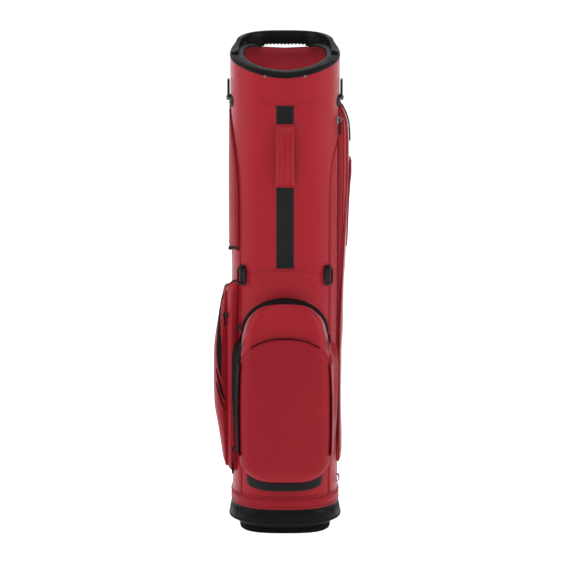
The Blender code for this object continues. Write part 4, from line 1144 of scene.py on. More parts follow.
class Pocket:
    """A pocket's outer cloth over the shell. Rows are (height, first turn, last turn, inner, outer) in mm."""

    def __init__(self, rows, squareness, edge, crown=0.0, dents=0.4, seed=1.0):
        self.rows, self.squareness, self.edge = rows, squareness, edge * MM
        self.crown, self.dents, self.seed = crown * MM, dents * MM, seed
        self.low, self.high = rows[0][0] * MM, rows[-1][0] * MM

    def turns(self, z):
        return smooth(self.rows, z / MM, 1), smooth(self.rows, z / MM, 2)

    def at(self, u, z, lift=0.0):
        """The cloth at u across it, -1 to 1, and height z."""
        first, last = self.turns(z)
        inner, outer = (smooth(self.rows, z / MM, column) * MM for column in (3, 4))
        turn = first + (last - first) * (u + 1) / 2
        rise = inner + self.edge + max(outer - inner - self.edge, 0) * bulge(u, self.squareness)
        ends = soft_ramp(z, self.low, self.low + 25 * MM) * soft_ramp(self.high - z, 0, 25 * MM)
        round_it = bulge(u, 2.0) * ends
        rise += self.crown * round_it
        rise += self.dents * wobble((turn * GIRTH, 0, z * 0.6), 0.045, self.seed) * round_it
        return on_shell(turn, z, rise + lift)

    def normal(self, u, z):
        step = 0.02
        across = self.at(min(u + step, 1), z) - self.at(max(u - step, -1), z)
        up = self.at(u, min(z + MM, self.high)) - self.at(u, max(z - MM, self.low))
        return across.cross(up).normalized()

    def u_at(self, x, z):
        """How far across the pocket its face reaches that x, on its front side."""
        low, high = 0.0, -1.0 if x > 0 else 1.0
        for _ in range(28):
            middle = (low + high) / 2
            if abs(self.at(middle, z).x) > abs(x):
                low = middle
            else:
                high = middle
        return (low + high) / 2

    def build(self, name, material, nodes, steps=44, pitch=4.0):
        rings = []
        shares = crowded(steps)
        for high in rows_between(self.rows, pitch):
            z = high * MM
            first, last = self.turns(z)
            inner = max(smooth(self.rows, high, 3) - 0.6, 0.2) * MM
            skin = [self.at(u, z) for u in shares]
            back = [on_shell(first + (last - first) * (u + 1) / 2, z, inner - 0.2 * MM) for u in shares]
            back[0], back[-1] = on_shell(first, z, inner), on_shell(last, z, inner)
            rings.append([*skin, *back[::-1]])
        loft(name, rings, material, replaces=nodes, sharp=50)

    def outline(self, inset, lift=0.0, count=70):
        """Points round the pocket, inset from its edge, with ways out."""
        margin = inset * MM
        heights = [self.low + margin + (self.high - self.low - 2 * margin) * (0.5 - 0.5 * cos(pi * s))
                   for s in spread(0, 1, count)]
        sides = {-1: [], 1: []}
        for z in heights:
            first, last = self.turns(z)
            share = max(1 - 2 * inset * MM / max((last - first) * GIRTH, 8 * MM), 0.05)
            for side in sides:
                sides[side].append((self.at(side * share, z, lift), self.normal(side * share, z)))
        top = [(self.at(u, heights[-1], lift), self.normal(u, heights[-1])) for u in spread(0.9, -0.9, 10)]
        bottom = [(self.at(u, heights[0], lift), self.normal(u, heights[0])) for u in spread(-0.9, 0.9, 10)]
        loop = sides[1] + top + sides[-1][::-1] + bottom
        return [p for p, _ in loop], [n for _, n in loop]

    def line(self, places, lift=0.0):
        """Points and ways out on the cloth at (u, z) places."""
        flat = [Vector((u, 0, z)) for u, z in places]
        return [self.at(p.x, p.z, lift) for p in flat], [self.normal(p.x, p.z) for p in flat]

    def patch(self, name, rows, material, thick=0.8, below=0.5, steps=8):
        """Cloth on the pocket's face. Rows are (z, u on one side, u on the other)."""
        rings = []
        for z, a, b in rows:
            face = [self.at(u, z, thick * MM * (0.35 + 0.65 * bulge(v, 2.5)))
                    for u, v in zip(spread(a, b, steps), spread(-1, 1, steps))]
            back = [self.at(u, z, -below * MM) for u in spread(a, b, steps)]
            rings.append(face + back[::-1])
        loft(name, rings, material, sharp=60)


def by_x(cloth, places):
    """(u, z) along a smooth line through (x, z) places, in mm, on the front side of a pocket."""
    line = rounded([(x * MM, 0, z * MM) for x, z in places], 3 * MM)
    return [(cloth.u_at(p.x, p.z), p.z) for p in line]


LEFT_LOWER = Pocket((
    (104, -0.335, -0.180, 1, 4), (109, -0.345, -0.170, 1, 9), (122, -0.35, -0.163, 1, 12),
    (300, -0.35, -0.155, 1, 12.5), (405, -0.35, -0.151, 1, 12.3), (412, -0.345, -0.150, 1, 12.2),
    (418, -0.312, -0.149, 1, 11.9), (424, -0.264, -0.148, 1, 11.3), (430, -0.234, -0.147, 1, 10),
    (437, -0.205, -0.146, 1, 8), (444, -0.180, -0.146, 1, 5.5), (450.5, -0.160, -0.147, 1, 3.4),
), 8.0, 2.5, 0.4, 0.3, 4.0)
LEFT_OUTER = Pocket((
    (110, -0.318, -0.208, 11.2, 12.4), (113, -0.326, -0.2, 11.8, 14), (122, -0.33, -0.195, 13.2, 17),
    (144, -0.335, -0.192, 13.2, 20.5), (180, -0.337, -0.19, 13.2, 26), (223, -0.338, -0.19, 13.3, 32),
    (270, -0.338, -0.19, 13.3, 33), (317, -0.338, -0.19, 13.3, 32), (363, -0.337, -0.19, 13.2, 26.5),
    (408, -0.333, -0.193, 12.8, 18.5), (420, -0.325, -0.197, 12.6, 15.6), (425, -0.312, -0.205, 12, 13.4),
), 3.0, 1.0, 0.0, 1.0, 7.0)
LEFT_UPPER = Pocket((
    (502.6, -0.357, -0.1435, 0.6, 3.4), (510, -0.36, -0.1415, 0.6, 4.2), (600, -0.36, -0.1425, 0.6, 4.2),
    (640, -0.357, -0.148, 0.6, 4), (675, -0.35, -0.161, 0.6, 3.6), (705, -0.34, -0.179, 0.6, 3.2),
    (733, -0.32, -0.209, 0.6, 2.8), (748, -0.29, -0.240, 0.6, 2.4),
), 7.0, 1.2, 0.5, 0.3, 11.0)
APPAREL = Pocket((
    (116, 0.216, 0.325, 0.8, 2.6), (118, 0.208, 0.336, 0.8, 3.6), (122, 0.2, 0.345, 0.8, 5.5),
    (140, 0.193, 0.35, 0.8, 8.3), (170, 0.192, 0.352, 0.8, 8), (220, 0.192, 0.355, 0.8, 6.8),
    (310, 0.192, 0.355, 0.8, 7), (350, 0.192, 0.355, 0.8, 9), (420, 0.192, 0.355, 0.8, 10.2),
    (475, 0.192, 0.355, 0.8, 12.5), (530, 0.192, 0.355, 0.8, 15), (580, 0.192, 0.355, 0.8, 16.8),
    (645, 0.192, 0.355, 0.8, 18.2), (690, 0.193, 0.352, 0.8, 18), (717, 0.196, 0.345, 0.8, 16.5),
    (738, 0.204, 0.332, 0.8, 11), (750, 0.218, 0.315, 0.8, 5.5), (754, 0.232, 0.302, 0.8, 3),
), 4.6, 1.5, 0.0, 0.7, 13.0)
APPAREL_SIDE = Pocket((
    (500, 0.244, 0.281, 13.4, 14.6), (506, 0.238, 0.29, 13.6, 15.0), (530, 0.226, 0.31, 14.6, 16.3),
    (580, 0.222, 0.32, 16.4, 18.4), (612, 0.222, 0.32, 17.4, 20.4), (634, 0.222, 0.32, 18.0, 22.6),
    (650, 0.227, 0.315, 18.2, 22.2), (656, 0.236, 0.306, 18.2, 20.4),
), 5.0, 0.8, 0.0, 0.5, 17.0)


def make_left_pockets():
    LEFT_LOWER.build("left_lower_cloth", "red_matte", ("left_lower_pocket",))
    edge, _ = LEFT_LOWER.outline(2.4, 0.2 * MM)
    piping("left_lower_piping", edge, 1.0 * MM)
    top = [p for p in edge[71:153] if p.z > 414 * MM]
    tube("left_lower_top_piping", resample(top, 3 * MM), 1.4 * MM, "black_fabric", sides=8)
    stitches("left_lower_stitches", [LEFT_LOWER.outline(6.4, 0.1 * MM)])

    LEFT_OUTER.build("left_outer_cloth", "red_pocket", ("left_outer_pocket",))
    edge, _ = LEFT_OUTER.outline(1.0, -0.2 * MM)
    piping("left_outer_piping", edge, 1.2 * MM)
    opening = by_x(LEFT_OUTER, [(-107, 420), (-110.5, 411), (-114.3, 392), (-117, 362), (-118.2, 330),
                                (-118, 305), (-115.6, 288), (-111.3, 277), (-106, 270)])
    band = []
    for i, (u, z) in enumerate(opening):
        share = i / (len(opening) - 1)
        half = 0.012 + 0.13 * sin(pi * share) ** 0.7
        band.append((z, min(u + half, 0.97), u - half * 0.8))
    LEFT_OUTER.patch("left_outer_opening", band, "black_fabric", 0.9)
    line, ways = LEFT_OUTER.line(opening, 1.1 * MM)
    line = resample(line, 2 * MM)
    make_coil("left_outer_coil", line, [ways[min(i, len(ways) - 1)] for i in range(len(line))])
    # two creases, each a tube that is thickest in its middle: the first in black cloth, the second near-black
    # red, painted shade in the crease
    for number, (high, low) in enumerate(((286, 232), (262, 214))):
        places = by_x(LEFT_OUTER, [(-121.5, high), (-117, (high * 2 + low) / 3), (-110, low + 6),
                                   (-104, low)])
        line, ways = LEFT_OUTER.line(places, 0.25 * MM)
        tube(f"left_outer_fold_{number}", resample(line, 2.5 * MM), lambda s: (0.6 + 1.9 * sin(pi * s)) * MM,
             "red_shadow" if number else "black_fabric", sides=8)

    LEFT_UPPER.build("left_upper_cloth", "red_pocket", ("left_upper_pocket",))
    edge, _ = LEFT_UPPER.outline(0.5, -0.4 * MM)
    piping("left_upper_piping", edge, 0.75 * MM, "red_shadow")
    stitches("left_upper_stitches", [LEFT_UPPER.outline(inset, 0.1 * MM) for inset in (5.0, 8.0)])
    places = [(turn, (496 + 11.5 * soft_ramp(turn, -0.25, -0.150)) * MM)
              for turn in spread(-0.353, -0.142, 60)]
    points, normals = shell_line(places, 1.0 * MM)
    shape = bmesh.new()
    add_strap(shape, points, normals, 4.6 * MM, 4.0 * MM)
    piece("left_upper_hem", shape, "webbing", replaces=("left_upper_zip",))
    points, normals = shell_line(places, 5.1 * MM)
    make_coil("left_upper_coil", points, normals, 2.2 * MM)


def make_right_pockets():
    APPAREL.build("apparel_cloth", "red_sheen", ("apparel_pocket",), 52)
    edge, _ = APPAREL.outline(1.0, 0.0)
    piping("apparel_piping", edge, 1.2 * MM)
    crown = [APPAREL.at(-0.27 - 0.25 * ramp(z, 735 * MM, 753 * MM), z, 1.0 * MM)
             for z in spread(688 * MM, 753 * MM, 24)]
    tube("apparel_top_piping", crown, 1.5 * MM, "black_fabric", sides=8)
    stitches("apparel_stitches", [APPAREL.outline(6.0, 0.1 * MM)])
    zip_line = by_x(APPAREL, [(99, 745), (104, 736), (107.4, 722), (108.6, 700), (108.8, 660), (108.4, 620),
                              (106.4, 575), (103, 520), (99, 455), (96, 400), (94.2, 350), (93.5, 300),
                              (93.5, 150)])
    line, ways = APPAREL.line(zip_line, 0.3 * MM)
    points = resample(line, 2 * MM)
    steps = [ways[min(int(i * len(ways) / len(points)), len(ways) - 1)] for i in range(len(points))]
    shape = bmesh.new()
    add_strap(shape, points, steps, 5.6 * MM, 0.8 * MM)
    piece("apparel_zip_tape", shape, "red_satin")
    make_coil("apparel_coil", [p + n * 0.9 * MM for p, n in zip(points, steps)], steps, 2.0 * MM,
              material="red_shadow")
    APPAREL_SIDE.build("apparel_side_cloth", "red_trim", ("apparel_side_pocket",), 36)
    edge, _ = APPAREL_SIDE.outline(1.2, 0.0)
    piping("apparel_side_piping", edge, 1.1 * MM)
    stitches("apparel_side_stitches", [APPAREL_SIDE.outline(5.0, 0.1 * MM)])
    rings, turns = [], spread(0.1955, 0.2085, 6)
    for share in spread(0, 1, 24):
        angle = pi * share
        out, z = 1.2 + 4.6 * sin(angle) ** 0.8, 89 - 7.0 * cos(angle)
        outer = [on_shell(turn, z * MM, out * MM) for turn in turns]
        thick = Vector((0, 0, 1.3 * MM * cos(angle)))
        inner = [on_shell(turn, z * MM, (out - 1.3 * sin(angle)) * MM) + thick for turn in turns]
        rings.append(outer + inner[::-1])
    loft("side_loop", rings, "red_trim", replaces=("side_tab",), sharp=60)


make_left_pockets()
make_right_pockets()


# ---- Webbing, handle, rings and zip pulls ----------------------------------------------------------------

def box_stitch(points_at, half, low, high):
    """Lines of a stitched box with a cross, on a face given as points_at(x, z)."""
    corners = [(-half, low), (half, low), (half, high), (-half, high), (-half, low)]
    lines = []
    sides = [*zip(corners, corners[1:]), (corners[0], corners[2]), (corners[1], corners[3])]
    for (x0, z0), (x1, z1) in sides:
        spots = [(x0 + (x1 - x0) * t, z0 + (z1 - z0) * t) for t in spread(0, 1, 10)]
        lines.append(([points_at(x, z) for x, z in spots], [Vector((0, -1, 0))] * 11))
    return lines


def make_spine_strap():
    """The wide webbing down the front, with its woven edges and sewn ends."""
    low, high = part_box("spine_strap")
    half = high.x - 0.1 * MM
    rings = []
    for z in spread(low.z, high.z, 120):
        face, back = [], []
        for u in spread(-1, 1, 16):
            edge = bulge(u, 12)
            rib = 0.12 * MM * cos(u * pi * 6) * edge
            puff = 0.25 * MM * wobble((u * 0.02, 0, z), 0.05, 6)
            face.append(front_point(u * half, z, 0.8 * MM + 1.5 * MM * edge + rib + puff * edge))
            back.append(front_point(u * half, z, 0.1 * MM))
        rings.append(face + back[::-1])
    loft("spine_webbing", rings, "webbing", replaces=("spine_strap",), sharp=60)

    def face_at(x, z):
        return front_point(x, z, 2.5 * MM)

    inset = half - 2.6 * MM
    lines = box_stitch(face_at, inset, high.z - 22 * MM, high.z - 3 * MM)
    lines += box_stitch(face_at, inset, low.z + 3 * MM, low.z + 22 * MM)
    stitches("spine_stitches", lines, "black_thread")
    for name, z in (("top", high.z - 1.6 * MM), ("bottom", low.z + 1.6 * MM)):
        rings = []
        for x in spread(-half - 0.2 * MM, half + 0.2 * MM, 16):
            centre = front_point(x, z, 1.9 * MM)
            rings.append([centre + Vector((0, -1.1 * MM * cos(a), 1.7 * MM * sin(a)))
                          for a in spread(0, 2 * pi, 10)[:-1]])
        loft(f"spine_hem_{name}", rings, "webbing")


GRIP_LOW, GRIP_HIGH, GRIP_HALF = 623.5 * MM, 730.5 * MM, 16.8 * MM


def grip_stand(share):
    """How far the padded grip's back stands off the shell, and its thickness."""
    stand = 2.6 + 19 * max(sin(pi * share), 0) ** 0.75
    return stand * MM, (2.4 + 5.4 * max(sin(pi * share), 0) ** 0.5) * MM


def make_lift_handle():
    """The padded grip, fuller in its middle, with bound edges and a seam down its face."""
    rings, edges, seam, side_rows = [], {-1: [], 1: []}, [], {-1: [], 1: []}
    for share in spread(0, 1, 90):
        z = GRIP_LOW + (GRIP_HIGH - GRIP_LOW) * share
        stand, thick = grip_stand(share)
        half = GRIP_HALF - 0.9 * MM - 1.1 * MM * sin(pi * share)
        y = on_shell(0, z).y
        face, back = [], []
        for u in spread(-1, 1, 24):
            dome = bulge(u, 2.6)
            crease = 0.9 * MM * max(0, 1 - abs(u) / 0.10) * sin(pi * share) ** 0.3
            dents = 0.35 * MM * wobble((u * 0.02, 0, z), 0.018, 8) * dome
            face.append(Vector((u * half, y - stand - thick * (0.42 + 0.58 * dome) + crease + dents, z)))
            back.append(Vector((u * half, y - stand - thick * 0.30 * (1 - dome), z)))
        rings.append(face + back[::-1])
        for side in edges:
            edges[side].append(Vector((side * half, y - stand - 0.34 * thick, z)))
            side_rows[side].append(Vector((side * half * 0.74, y - stand - thick * 0.98, z)))
        seam.append(Vector((0, y - stand - thick * 0.97 + 0.5 * MM, z)))
    grip = loft("lift_grip", rings, "red_satin", replaces=("lift_handle",), sharp=60)
    for side, name in ((-1, "left"), (1, "right")):
        tube(f"lift_grip_piping_{name}", edges[side], 1.05 * MM, "red_satin", sides=8)
    tube("lift_grip_seam", seam[3:-3], 0.4 * MM, "red_pocket", sides=6)
    stitches("lift_grip_stitches", [(side_rows[s][4:-4], [Vector((s * 0.25, -1, 0))] * 83) for s in (-1, 1)])
    for name, share in (("low", 0.012), ("high", 0.988)):
        z = GRIP_LOW + (GRIP_HIGH - GRIP_LOW) * share
        y = on_shell(0, z).y - 3.4 * MM
        rings = []
        for u in spread(-1, 1, 14):
            tall, deep = 3.4 * MM, 2.1 * MM * (0.75 + 0.25 * bulge(u, 3))
            rings.append([Vector((u * GRIP_HALF, y - deep * cos(a) - 0.6 * MM, z + tall * sin(a)))
                          for a in spread(0, 2 * pi, 12)[:-1]])
        loft(f"lift_grip_hem_{name}", rings, "red_satin")
        lines = []
        for rise in (-1.3, 1.3):
            line = [Vector((x * MM, y - 2.65 * MM, z + rise * MM)) for x in spread(-14, 14, 10)]
            lines.append((line, [Vector((0, -1, 0))] * 11))
        stitches(f"lift_grip_hem_stitches_{name}", lines)


RIDGED_SECTION = (                  # of webbing with two ribs on its face, as STRAP_SECTION
    (-1, 0.3), (-0.97, 0), (-0.5, 0), (0, 0), (0.5, 0), (0.97, 0), (1, 0.3), (1, 0.7), (0.97, 1),
    (0.66, 1.08), (0.33, 0.95), (0, 1.08), (-0.33, 0.95), (-0.66, 1.08), (-0.97, 1), (-1, 0.7),
)


def make_base_strap():
    """The webbing grab loop under the ball pocket, its ends sewn flat to the shell."""
    outer, rings = [], []
    for share in spread(-1, 1, 80):
        x, z = (-1 + 63.5 * share) * MM, (90.4 + 8.2 * abs(share) ** 3) * MM
        stand = (0.9 + 17.2 * (1 - share ** 2) ** 0.72) * MM
        outer.append(front_point(x, z, stand))
    # a black cloth patch on the shell behind the loop: painted shade for the shadowed gap under it
    for share in spread(-1, 1, 40):
        x, low = (-1 + 63 * share) * MM, 86 + 9 * abs(share) ** 4
        heights = [(low + (107 - low) * part) * MM for part in spread(0, 1, 6)]
        rings.append([front_point(x, z, 1.0 * MM) for z in heights]
                     + [front_point(x, z, 0.1 * MM) for z in heights[::-1]])
    loft("base_webbing_shade_patch", rings, "black_fabric", sharp=60)
    shape = bmesh.new()
    rings = []
    for i, point in enumerate(outer):
        way = (outer[min(i + 1, 80)] - outer[max(i - 1, 0)]).normalized()
        normal = UP.cross(way).normalized()
        normal = -normal if normal.y > 0 else normal
        reach = abs(2 * i / 80 - 1)
        bow = 1.0 + 0.15 * reach ** 2
        corner = 1 - max(0.0, 1 - ((reach - 0.86) / 0.14) ** 2) ** 0.5 if reach > 0.86 else 0.0
        ring = []
        for u, v in RIDGED_SECTION:
            lift = 0.9 * corner * max(-u, 0) if u < 0 else 0.0
            ring.append(point + UP * 7.2 * MM * (u * bow + lift) + normal * 2.2 * MM * v)
        rings.append(ring)
    add_loft(shape, rings)
    piece("base_webbing", shape, "webbing", replaces=("base_strap",), sharp=60)
    lines = []
    for low, high in ((2, 13), (67, 78)):
        for rise in (-4.6, 4.6):
            line = [outer[i] + UP * rise * MM - Vector((0, 2.3 * MM, 0)) for i in range(low, high)]
            lines.append((line, [Vector((0, -1, 0))] * len(line)))
    stitches("base_webbing_stitches", lines, "black_thread")


def ring_frame(turn, bar_height):
    out = outward(turn, bar_height)
    return on_shell(turn, bar_height, 4.4 * MM), out, Vector((-out.y, out.x, 0))


def make_ring(level, side, turn, bar_height, size, way):
    """A moulded strap ring with a groove, in a folded webbing tab with its sewn patch."""
    width, height = size
    centre, out, along = ring_frame(turn, bar_height)
    corner = 5 * MM
    outline = []
    for right, far, first in ((1, 0, -pi / 2), (1, 1, 0), (-1, 1, pi / 2), (-1, 0, pi)):
        middle = right * (width / 2 - corner), height - corner if far else corner
        for step in range(7):
            angle = first + pi / 2 * step / 6
            outline.append(centre + along * (middle[0] + corner * cos(angle))
                           + UP * way * (middle[1] + corner * sin(angle)))
    node = f"strap_ring_{level}_{side}"
    line = resample(outline, 1.6 * MM, True)
    shape = bmesh.new()
    add_tube(shape, line, 2.0 * MM, 12, closed=True, hint=out)
    piece(f"ring_{level}_{side}_loop", shape, "ring_plastic", f"ring_{level}_{side}", (node,))
    # the tab: it comes off the shell, goes round the ring's bar, and back to the shell
    root = centre - out * 2.4 * MM - UP * way * (9.0 if level == "upper" else 5.6) * MM
    path = [centre - out * 3.7 * MM + UP * way * 3.6 * MM, centre - out * 1.8 * MM + UP * way * 3.3 * MM]
    for angle in spread(0.5 * pi, -0.5 * pi, 10):
        path.append(centre + out * 3.0 * MM * cos(angle) + UP * way * 3.0 * MM * sin(angle))
    path += [centre - out * 1.8 * MM - UP * way * 3.7 * MM, root + out * 0.6 * MM + UP * way * 1.5 * MM, root]
    points = resample(path, 1.0 * MM)
    ways = []
    for i, point in enumerate(points):
        step = (points[min(i + 1, len(points) - 1)] - points[max(i - 1, 0)]).normalized()
        normal = along.cross(step)
        ways.append(normal.normalized() * (1 if normal.dot(point - centre) >= 0 else -1))
    shape = bmesh.new()
    add_strap(shape, points, ways, min(12.6 * MM, width - 11.4 * MM), 1.1 * MM)
    piece(f"ring_{level}_{side}_tab", shape, "webbing", replaces=(f"{node}_keeper",), sharp=60)
    patch_height = 9.5 * MM if level == "upper" else 3.6 * MM
    drop = 5.7 * MM + patch_height / 2 if level == "upper" else 4.4 * MM
    patch = centre - out * 2.7 * MM - UP * way * drop
    shape = bmesh.new()
    turn_matrix = Matrix((out, along, UP)).transposed()
    add_block(shape, (1.6 * MM, 15 * MM, patch_height), patch, turn_matrix, 0.5 * MM)
    piece(f"ring_{level}_{side}_patch", shape, "webbing")


def make_mount(name, turn, z, wide, tall):
    """An oval patch sewn on the shell behind a ring: behind the upper rings it is their anchor, behind the
    lower rings it is painted shade that fills the ring's middle.
    """
    rings = []
    for share, lift in ((1.0, 0.1), (1.0, 1.3), (0.95, 1.9), (0.6, 2.15), (0.15, 2.2)):
        ring = []
        for i in range(36):
            across, up = superellipse(2 * pi * i / 36, wide * share, tall * share, 2.6)
            ring.append(on_shell(turn + across / GIRTH, z + up, lift * MM))
        rings.append(ring)
    loft(name, rings, "webbing", sharp=60)


def make_rings():
    for side, sign in SIDES.items():
        make_ring("upper", side, sign * 0.235, 766 * MM, (26 * MM, 31 * MM), 1)
        near, far = turn_at_x(sign * 90 * MM, 762 * MM), sign * 0.254
        make_mount(f"ring_upper_{side}_shade_patch", (near + far) / 2, 762 * MM, abs(far - near) / 2 * GIRTH,
                   11 * MM)
        turn = turn_at_x(sign * 73 * MM, 470 * MM)
        make_ring("lower", side, turn, 473 * MM, (20 * MM, 28 * MM), -1)
        # behind the lower ring, a dark webbing patch: painted shade filling the ring's shadowed middle
        make_mount(f"ring_lower_{side}_shade_patch", turn, 461 * MM, 8.6 * MM, 16 * MM)


BRIDGE = 5.4 * MM


def zips():
    """Each slider's name, place at rest, the ways its zip faces and runs, and its pull's length."""
    radial, tangent = arch_way(-radians(83)), arch_way(radians(7))
    return (
        ("apparel", on_shell(0.181, 731 * MM, 1.6 * MM), outward(0.181, 731 * MM), UP, 26 * MM),
        ("left_outer", on_shell(-0.1815, 385 * MM, 13.6 * MM), outward(-0.1815, 385 * MM), UP, 20 * MM),
        ("ball_side", Vector((-86.6 * MM, -90 * MM, 152 * MM)), Vector((-1, 0, 0)), UP, 44 * MM),
        ("ball_top", ARCH_CENTRE + radial * (ARCH_RADIUS + 3.8 * MM), radial, tangent, 15 * MM),
    )


SLIDER_OUTLINE = ((-2.4, -5.5), (2.4, -5.5), (3.0, -3.6), (3.6, 1.5), (3.5, 4.2), (2.4, 5.5), (-2.4, 5.5),
                  (-3.5, 4.2), (-3.6, 1.5), (-3.0, -3.6))
SLIDER_BRIDGE = ((2.4, -3.4), (4.4, -3.6), (6.3, -2.8), (7.2, -1.0), (7.4, 0.8), (6.8, 2.6), (5.0, 3.5),
                 (2.4, 3.4))


def make_slider(name, place, out, up, pull_length):
    """A die-cast slider with its bridge, and a cord pull with a moulded grip."""
    along = up.cross(out)
    bridge = place + out * BRIDGE
    shape = bmesh.new()
    rings, outline = [], in_mm(SLIDER_OUTLINE)
    size = 1.15 if name == "apparel" else 1.0
    for depth, shrink in ((0.2, 0.90), (0.5, 1.0), (2.2, 1.0), (2.8, 0.9)):
        rings.append([place + out * depth * MM + (along * x + up * z) * shrink * size for x, z in outline])
    add_loft(shape, rings)
    arch = [place + out * o * MM + up * z * MM for o, z in SLIDER_BRIDGE]
    add_tube(shape, rounded(arch, 0.8 * MM), 0.85 * MM, 8, flat=1.3, hint=along)
    finish = "gunmetal" if name == "apparel" else "dark_metal"
    piece(f"{name}_zip_slider", shape, finish, f"{name}_slider", (f"{name}_slider",))
    shape = bmesh.new()
    half, low = 2.0 * MM, -pull_length
    loop = [(half, 0.6 * MM), (half, low * 0.72), (half * 0.6, low * 0.80), (-half * 0.6, low * 0.80),
            (-half, low * 0.72), (-half, 0.6 * MM), (0, 1.3 * MM)]
    line = rounded([bridge + along * x + up * z for x, z in loop], 1.2 * MM, 2, True)
    add_tube(shape, line, 0.75 * MM, 7, closed=True)
    piece(f"{name}_zip_pull", shape, "black_fabric", f"{name}_pull", (f"{name}_pull",))
    shape = bmesh.new()
    rings = []
    for share, wide, deep in ((0, 1.2, 0.7), (0.06, 2.2, 1.1), (0.3, 2.6, 1.35), (0.7, 2.4, 1.3),
                              (0.93, 2.0, 1.1), (1, 1.1, 0.6)):
        centre = bridge + up * (low * (0.55 + 0.45 * share))
        deep *= 1.6 if name == "ball_side" else 1.0
        rings.append([centre + (along * wide * cos(a) + out * deep * sin(a)) * MM
                      for a in spread(0, 2 * pi, 14)[:-1]])
    add_loft(shape, rings)
    piece(f"{name}_zip_grip", shape, "black_rubber", f"{name}_pull")


make_spine_strap()
make_lift_handle()
make_base_strap()
make_rings()
for zipper in zips():
    make_slider(*zipper)


# ---- Base and foot ---------------------------------------------------------------------------------------

FOOT_HINGE = Vector((0, 40 * MM, 20 * MM))
ROD_FOOT = Vector((30 * MM, 118 * MM, 15.5 * MM))


def oval(a, b, z, squareness=SQUARENESS, count=150):
    """A ring of points with half axes a and b at height z, all in mm."""
    return [Vector((*superellipse(2 * pi * i / count, a * MM, b * MM, squareness), z * MM))
            for i in range(count)]


def cut(thing, shape):
    """Takes a closed shape away from a piece, for good."""
    bmesh.ops.recalc_face_normals(shape, faces=shape.faces)
    mesh = bpy.data.meshes.new("cutter")
    shape.to_mesh(mesh)
    shape.free()
    tool = bpy.data.objects.new("cutter", mesh)
    bpy.context.scene.collection.objects.link(tool)
    modifier = thing.modifiers.new("cut", "BOOLEAN")
    modifier.operation, modifier.object = "DIFFERENCE", tool
    bpy.context.view_layer.update()
    evaluated = thing.evaluated_get(bpy.context.evaluated_depsgraph_get())
    made = bpy.data.meshes.new_from_object(evaluated)
    thing.modifiers.clear()
    made.materials.clear()
    made.materials.append(thing.data.materials[0])
    thing.data = made
    for face in made.polygons:
        face.material_index = 0
    made.shade_smooth()
    made.set_sharp_from_angle(angle=radians(38))
    bpy.data.objects.remove(tool)


def make_base():
    """The moulded skirt, open underneath for the foot, with its hinge lugs, arch and ribs."""
    profile = (
        (84.5, 93.5, 12.6), (86.2, 95.2, 12.5), (86.9, 95.9, 13.2), (87.7, 96.7, 18.8), (88.2, 97.2, 19.8),
        (98.4, 108.6, 20.0), (99.0, 109.2, 20.2), (99.3, 109.5, 20.8), (98.7, 109.0, 23.6),
        (98.2, 108.5, 24.0), (97.9, 108.2, 24.6), (98.1, 108.4, 25.3), (94.7, 105.7, 41.0),
        (94.3, 105.4, 41.4), (94.0, 105.1, 42.0), (94.0, 105.1, 42.6), (93.7, 104.8, 44.6),
        (93.0, 104.2, 45.7), (91.8, 103.1, 46.1), (88.2, 99.5, 46.1),
        (88.0, 99.3, 60), (85.2, 96.4, 76), (85.0, 96.2, 38), (60, 70, 38), (20, 24, 38.4),
    )
    thing = loft("base_skirt", [oval(*row) for row in profile], "black_plastic", replaces=("base_cup",))
    plan = sorted((p for p in oval(91, 101, 0) if p.y > 30 * MM), key=lambda p: -atan2(p.x, p.y))
    plan += [Vector((x * MM, 28 * MM, 0)) for x in (-86, 86)]
    shape = bmesh.new()
    add_loft(shape, [[p + Vector((0, 0, z * MM)) for p in plan] for z in (0, 31)])
    cut(thing, shape)
    shape = bmesh.new()
    add_block(shape, (84 * MM, 40 * MM, 40 * MM), (0, 104 * MM, 16 * MM), None, 3 * MM)
    cut(thing, shape)
    for side, sign in SIDES.items():
        place = Vector((sign * 61.5 * MM, FOOT_HINGE.y, FOOT_HINGE.z))
        shape = bmesh.new()
        start = place - Vector((5 * MM, 0, 0))
        add_turned(shape, in_mm(((6.8, 0), (7.5, 0.7), (7.5, 9.3), (6.8, 10))), start, Vector((1, 0, 0)))
        add_block(shape, (9.6 * MM, 14 * MM, 14 * MM), place + UP * 7 * MM, None, 1 * MM)
        piece(f"base_lug_{side}", shape, "black_plastic")
    arch = []
    for x in spread(-52, 46, 50):
        z = 13.6 + 5.0 * max(0.0, 1 - ((x + 3) / 49) ** 2) ** 0.5
        share = (z - 12.5) / 7.3
        a, b = 86.4 + 1.8 * share, 95.4 + 1.8 * share
        y = -b * (1 - abs(x / a) ** SQUARENESS) ** (1 / SQUARENESS)
        arch.append(Vector((x * MM, y * MM, z * MM)))
    tube("base_arch_bead", arch, 0.8 * MM, "black_plastic", sides=8)
    shape = bmesh.new()
    for turn in [0.0625 * (i + 0.5) for i in range(16)]:
        if abs(turn % 1 - 0.5) < 0.09:
            continue
        line = []
        for z in spread(26.5, 40.2, 8):
            share = (z - 21.6) / 23
            a, b = 98.9 - 4.9 * share, 109.1 - 4.2 * share
            x, y = superellipse(angle_at(turn), a * MM, b * MM)
            line.append(Vector((x, y, z * MM)))
        add_tube(shape, line, 0.75 * MM, 8)
    piece("base_ribs", shape, "black_plastic")


